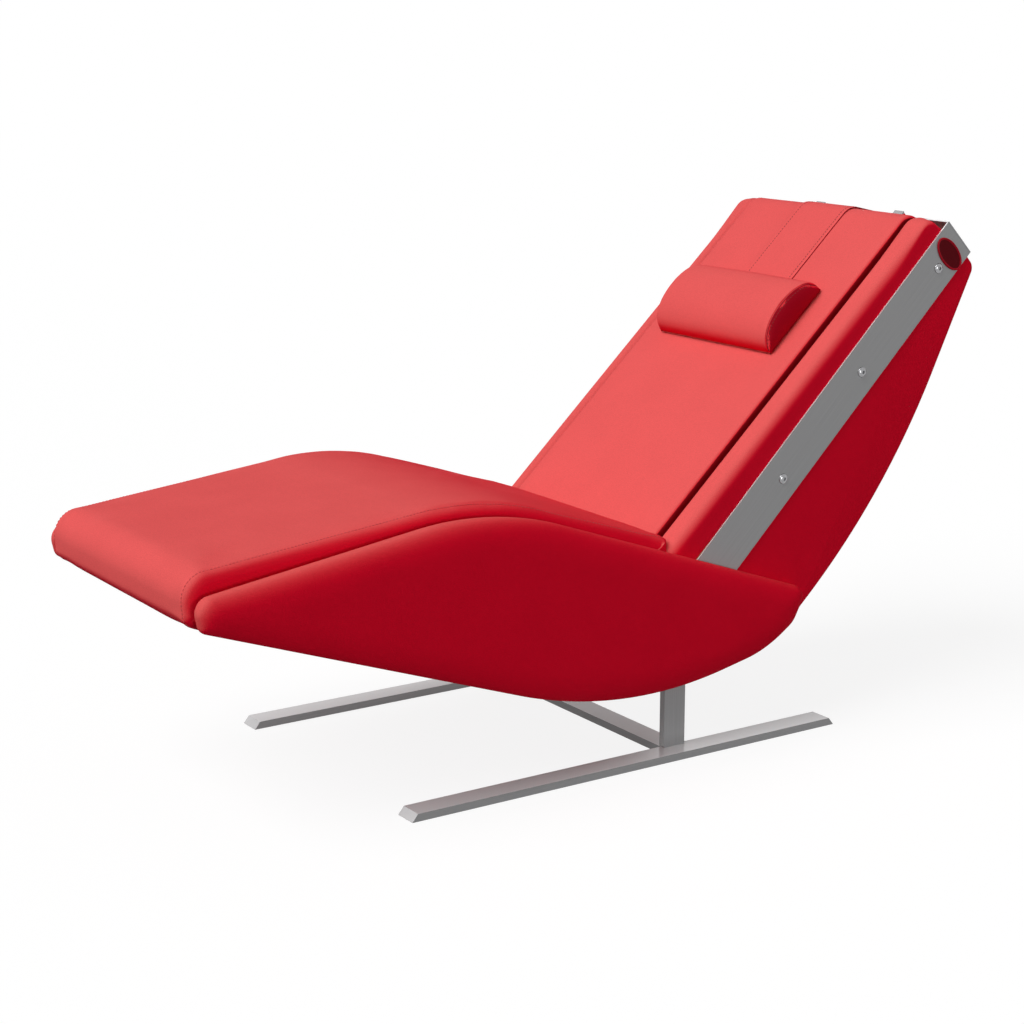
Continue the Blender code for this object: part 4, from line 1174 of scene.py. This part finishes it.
def strap_length(name, first, last):
    """Part of the strap between two points of its line, with two rows of stitches."""
    line_up = strap_up[first:last + 1]
    line_under = strap_under[first:last + 1]
    outward = leftward(line_under)

    def spot(i, j, l):
        y, depth = strap_columns[j]
        s, o = line_up[i] - outward[i] * depth if l else line_under[i]
        return on_back(s, y, o)

    piece, grid = bent_box(name, (last - first, len(strap_columns) - 1, 1), spot, seat_leather)
    piece.data.set_sharp_from_angle(angle=math.radians(60))
    # The strap's cut edges get the dark edge hide: burnished, and darker as a painted edge shadow.
    cut = [abs(vertex.co.y) > STRAP_HALF - STRAP_CUT for vertex in piece.data.vertices]
    second_finish(piece, edge_and_shade_leather, lambda polygon: all(cut[n] for n in polygon.vertices))
    seams = []
    for j in (4, len(strap_columns) - 5):
        seams.append(row_of(piece, [grid[i, j, 1] for i in range(last - first + 1)]))
    return piece, stitching(name + "_stitches", seams, red_thread)


front_strap, front_stitches = strap_length("pillow_strap_front", 0, split)
rear_strap, rear_stitches = strap_length("pillow_strap_rear", split, len(strap_under) - 1)
for piece in (front_strap, front_stitches):
    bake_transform(piece)
for piece in (rear_strap, rear_stitches):
    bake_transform(piece)
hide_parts("pillow_strap")
print("strap:", len(front_strap.data.vertices), "and", len(rear_strap.data.vertices), "vertices")

# %% Make the bag
WEIGHT_LENGTH = 0.100
WEIGHT_THICK = 0.022
WEIGHT_ROUND = 0.008
WEIGHT_FOOT = 0.003
WEIGHT_EDGE = 0.006
WEIGHT_CROWN = 0.002
WEIGHT_LAYERS = 3
WEIGHT_PUFF = 0.002
WEIGHT_SEAM_DEPTH = 0.0008
bag_corner = rear + down * WEIGHT_DROP + out * (STRAP_THICK + SKIN_GAP)


def on_bag(a, y, b):
    """Point of the bag's side view, a down the slope and b out of it."""
    s, o = bag_corner + down * a + out * b
    return on_back(s, y, o)


bag_front = rounded([
    (WEIGHT_LENGTH, WEIGHT_FOOT, 0),
    (WEIGHT_LENGTH, WEIGHT_THICK, WEIGHT_ROUND),
    (0, WEIGHT_THICK, WEIGHT_ROUND),
    (0, WEIGHT_FOOT, 0),
])
far = reach(bag_front) / reach(bag_front)[-1]
bag_rear = pick(np.array([[WEIGHT_LENGTH, 0.0], [0.0, 0.0]]), far)
bag_columns = edge_stations(STRAP_HALF, WEIGHT_EDGE, WEIGHT_CROWN, 8, (30, 60, 90))
bag, bag_grid = cushion(
    "counterweight_cover", [bag_front] * len(bag_columns), bag_rear, bag_columns, even(WEIGHT_LAYERS),
    on_bag, seat_leather,
)
rows = len(bag_front) - 1
held = [n for (i, j, l), n in bag_grid.items() if l == 0 or i in (0, rows)]
puff(bag, held, WEIGHT_PUFF)
seams = []
for j in (5, len(bag_columns) - 6):
    line = [bag_grid[i, j, WEIGHT_LAYERS] for i in range(1, rows)]
    press(bag, line, WEIGHT_SEAM_DEPTH)
    seams.append(row_of(bag, line))
bag_stitches = stitching("counterweight_stitches", seams, red_thread)
settle(bag, "counterweight", "red_leather", "counterweight")
settle(bag_stitches, "counterweight", "red_leather")
print("bag:", len(bag.data.vertices), "vertices")

# %% [markdown]
# ## Small leather pieces
# The cover under the belly is thin board wrapped in hide: its CAD form with softened edges.
# The two tabs behind the hooks are small folded pieces of the same hide.

# %% Make the belly cover
belly = bpy.data.objects.new("belly_cover_hide", nodes["belly_cover"].data.copy())
belly.data.materials.clear()
belly.data.materials.append(panel_leather)
bpy.context.scene.collection.objects.link(belly)
soften = belly.modifiers.new("soft_edges", "BEVEL")
soften.width = 0.002
soften.segments = 3
soften.limit_method = "ANGLE"
settle(belly, "root", "red_leather", "belly_cover")
print("belly cover:", len(belly.data.vertices), "vertices")

# %% Make the hook tabs
TAB_FOOT = STRIP_LENGTH + 0.0036
TAB_RISE = 0.020
TAB_FRONT = 0.0272
TAB_THICK = 0.008
HOOK_Y = 0.123
HOOK_HALF = 0.0135
TAB_CUT = 0.0008
TAB_INSET = 0.001
tab_stations = [(-HOOK_HALF, TAB_INSET), (TAB_CUT - HOOK_HALF, 0.0)]
tab_stations += [(HOOK_HALF - TAB_CUT, 0.0), (HOOK_HALF, TAB_INSET)]
tab_line = rounded([
    (TAB_FOOT, TAB_FRONT, 0.0012),
    (TAB_FOOT, TAB_FRONT - TAB_THICK, 0.0012),
    (TAB_FOOT + TAB_RISE, TAB_FRONT - TAB_THICK, 0.0036),
    (TAB_FOOT + TAB_RISE, TAB_FRONT, 0.0036),
], closed=True)
tab_in = leftward(tab_line, closed=True)
for side, sign in SIDES:
    loops = []
    for y, depth in tab_stations:
        loops.append([on_strip(a, sign * HOOK_Y + y, b) for a, b in tab_line + tab_in * depth])
    tab = hoops("hook_tab_hide_" + side, loops, seat_leather)
    settle(tab, "back", "red_leather", "hook_tab_" + side)
print("hook tabs:", HOOK_HALF * 2000, "mm wide")

# %% [markdown]
# ## Screws and plaque
# The strips are held by button-head screws with a hexagon socket: rings from the rim over
# the dome, then down into a six-sided hole. The plaque is an oval with a sunk field of enamel
# inside a raised rim, left plain.

# %% Make the screws
SCREW_HEAD = 0.0105
SCREW_DOME = 0.0045
SOCKET = 0.0032
STRIP_OUT = 0.2985
SCREW_FIRST = 0.274
SCREW_LAST = STRIP_LENGTH - 0.0827
SCREW_OFFSET = -0.004
SCREW_COUNT = 3
SCREW_SIDES = 36
SCREW_RIM = 0.0003
DOME_SPANS = 7
DOME_TURN = math.radians(66)
SOCKET_DEPTH = 0.0026
screw_rings = [(0.0, 0.0040), (0.0, SCREW_HEAD - SCREW_RIM), (SCREW_RIM, SCREW_HEAD)]
for k in range(1, DOME_SPANS + 1):
    angle = DOME_TURN * k / DOME_SPANS
    screw_rings.append((SCREW_DOME * math.sin(angle) + SCREW_RIM, SCREW_HEAD * math.cos(angle)))
screw_top = screw_rings[-1][0]
screw_rings += [(screw_top, None), (screw_top - SOCKET_DEPTH, None)]


def socket_radius(angle):
    """Distance from the middle to the side of a hexagon."""
    return SOCKET / math.cos((angle + math.pi / 6) % (math.pi / 3) - math.pi / 6)


for side, sign in SIDES:
    for k in range(SCREW_COUNT):
        along = SCREW_FIRST + (SCREW_LAST - SCREW_FIRST) * k / (SCREW_COUNT - 1)
        loops = []
        for height, radius in screw_rings:
            loop = []
            y = sign * (STRIP_OUT + SKIN_GAP + height)
            for n in range(SCREW_SIDES):
                angle = 2 * math.pi * n / SCREW_SIDES
                r = radius or socket_radius(angle)
                loop.append(on_strip(along + r * math.cos(angle), y, SCREW_OFFSET + r * math.sin(angle)))
            loops.append(loop)
        name = side + "_" + str(k + 1)
        screw = hoops("button_screw_" + name, loops, polished)
        screw.data.set_sharp_from_angle(angle=math.radians(40))
        settle(screw, "back", "polished_steel", "strip_screw_" + name)
print("screws:", 2 * SCREW_COUNT)

# %% Make the plaque
BADGE_ALONG = STRIP_LENGTH - 0.0437
BADGE_LONG = 0.0425
BADGE_SHORT = 0.0232
BADGE_SIDES = 72
rim_rings = [(0.0, 0.0), (0.0018, 0.0), (0.0028, 0.0006), (0.0030, 0.0016)]
rim_rings += [(0.0028, 0.0030), (0.0018, 0.0040)]
field_rings = [(0.0017, 0.0046), (0.0017, 0.0090), (0.0019, 0.0150)]
loops = []
for height, inset in rim_rings + field_rings:
    loop = []
    y = -(STRIP_OUT + SKIN_GAP + height)
    for n in range(BADGE_SIDES):
        angle = 2 * math.pi * n / BADGE_SIDES
        along = BADGE_ALONG + (BADGE_SHORT - inset) * math.cos(angle)
        loop.append(on_strip(along, y, SCREW_OFFSET + (BADGE_LONG - inset) * math.sin(angle)))
    loops.append(loop)
badge = hoops("oval_plaque", loops, rim_enamel)
field_from = BADGE_SIDES * len(rim_rings)
rear_face = len(badge.data.polygons) - 2
second_finish(badge, enamel, lambda polygon: polygon.index >= field_from and polygon.index != rear_face)
settle(badge, "back", "red_leather", "badge_plaque")
print("plaque:", BADGE_LONG * 2000, "mm long")

# %% [markdown]
# ## Finish of the hard pieces
# The CAD shapes of the bars, plates and hidden parts stay. A small bevel catches the light
# along each sheared edge, and each bar gets brush lines along its own length.


# %% Dress the CAD pieces
def dress(name, material, bevel):
    """Give a CAD node its material and a small bevel."""
    node = nodes[name]
    node.data.materials.clear()
    node.data.materials.append(material)
    if bevel:
        change = node.modifiers.new("edge_break", "BEVEL")
        change.width = bevel
        change.segments = 2
        change.limit_method = "ANGLE"
        change.angle_limit = math.radians(40)


for side, _ in SIDES:
    dress("rail_" + side, along_x, 0.0006)
    dress("post_" + side, along_z, 0.0006)
    dress("side_plate_" + side, along_x, 0.0005)
    dress("back_strip_" + side, along_strip, 0.0006)
    dress("top_hook_" + side, hook_steel, 0.0004)
    dress("side_board_" + side, plywood, 0.0)
    dress("pivot_bush_" + side, bronze, 0.0)
    dress("recline_lever_" + side, along_z, 0.0004)
dress("base_crossbar", along_y, 0.0006)
dress("back_top_plate", along_y, 0.0006)
dress("recline_shaft", along_y, 0.0)
dress("lever_pin", along_y, 0.0)
dress("strut_eye", along_x, 0.0004)
dress("strut_bracket", along_x, 0.0004)
dress("strut_rod", polished, 0.0)
for name in ("seat_beam", "strut_cylinder", "strut_anchor_tube"):
    dress(name, coated, 0.0)
for name in ("seat_deck", "back_board", "back_floor"):
    dress(name, plywood, 0.0)
print("hard pieces dressed")
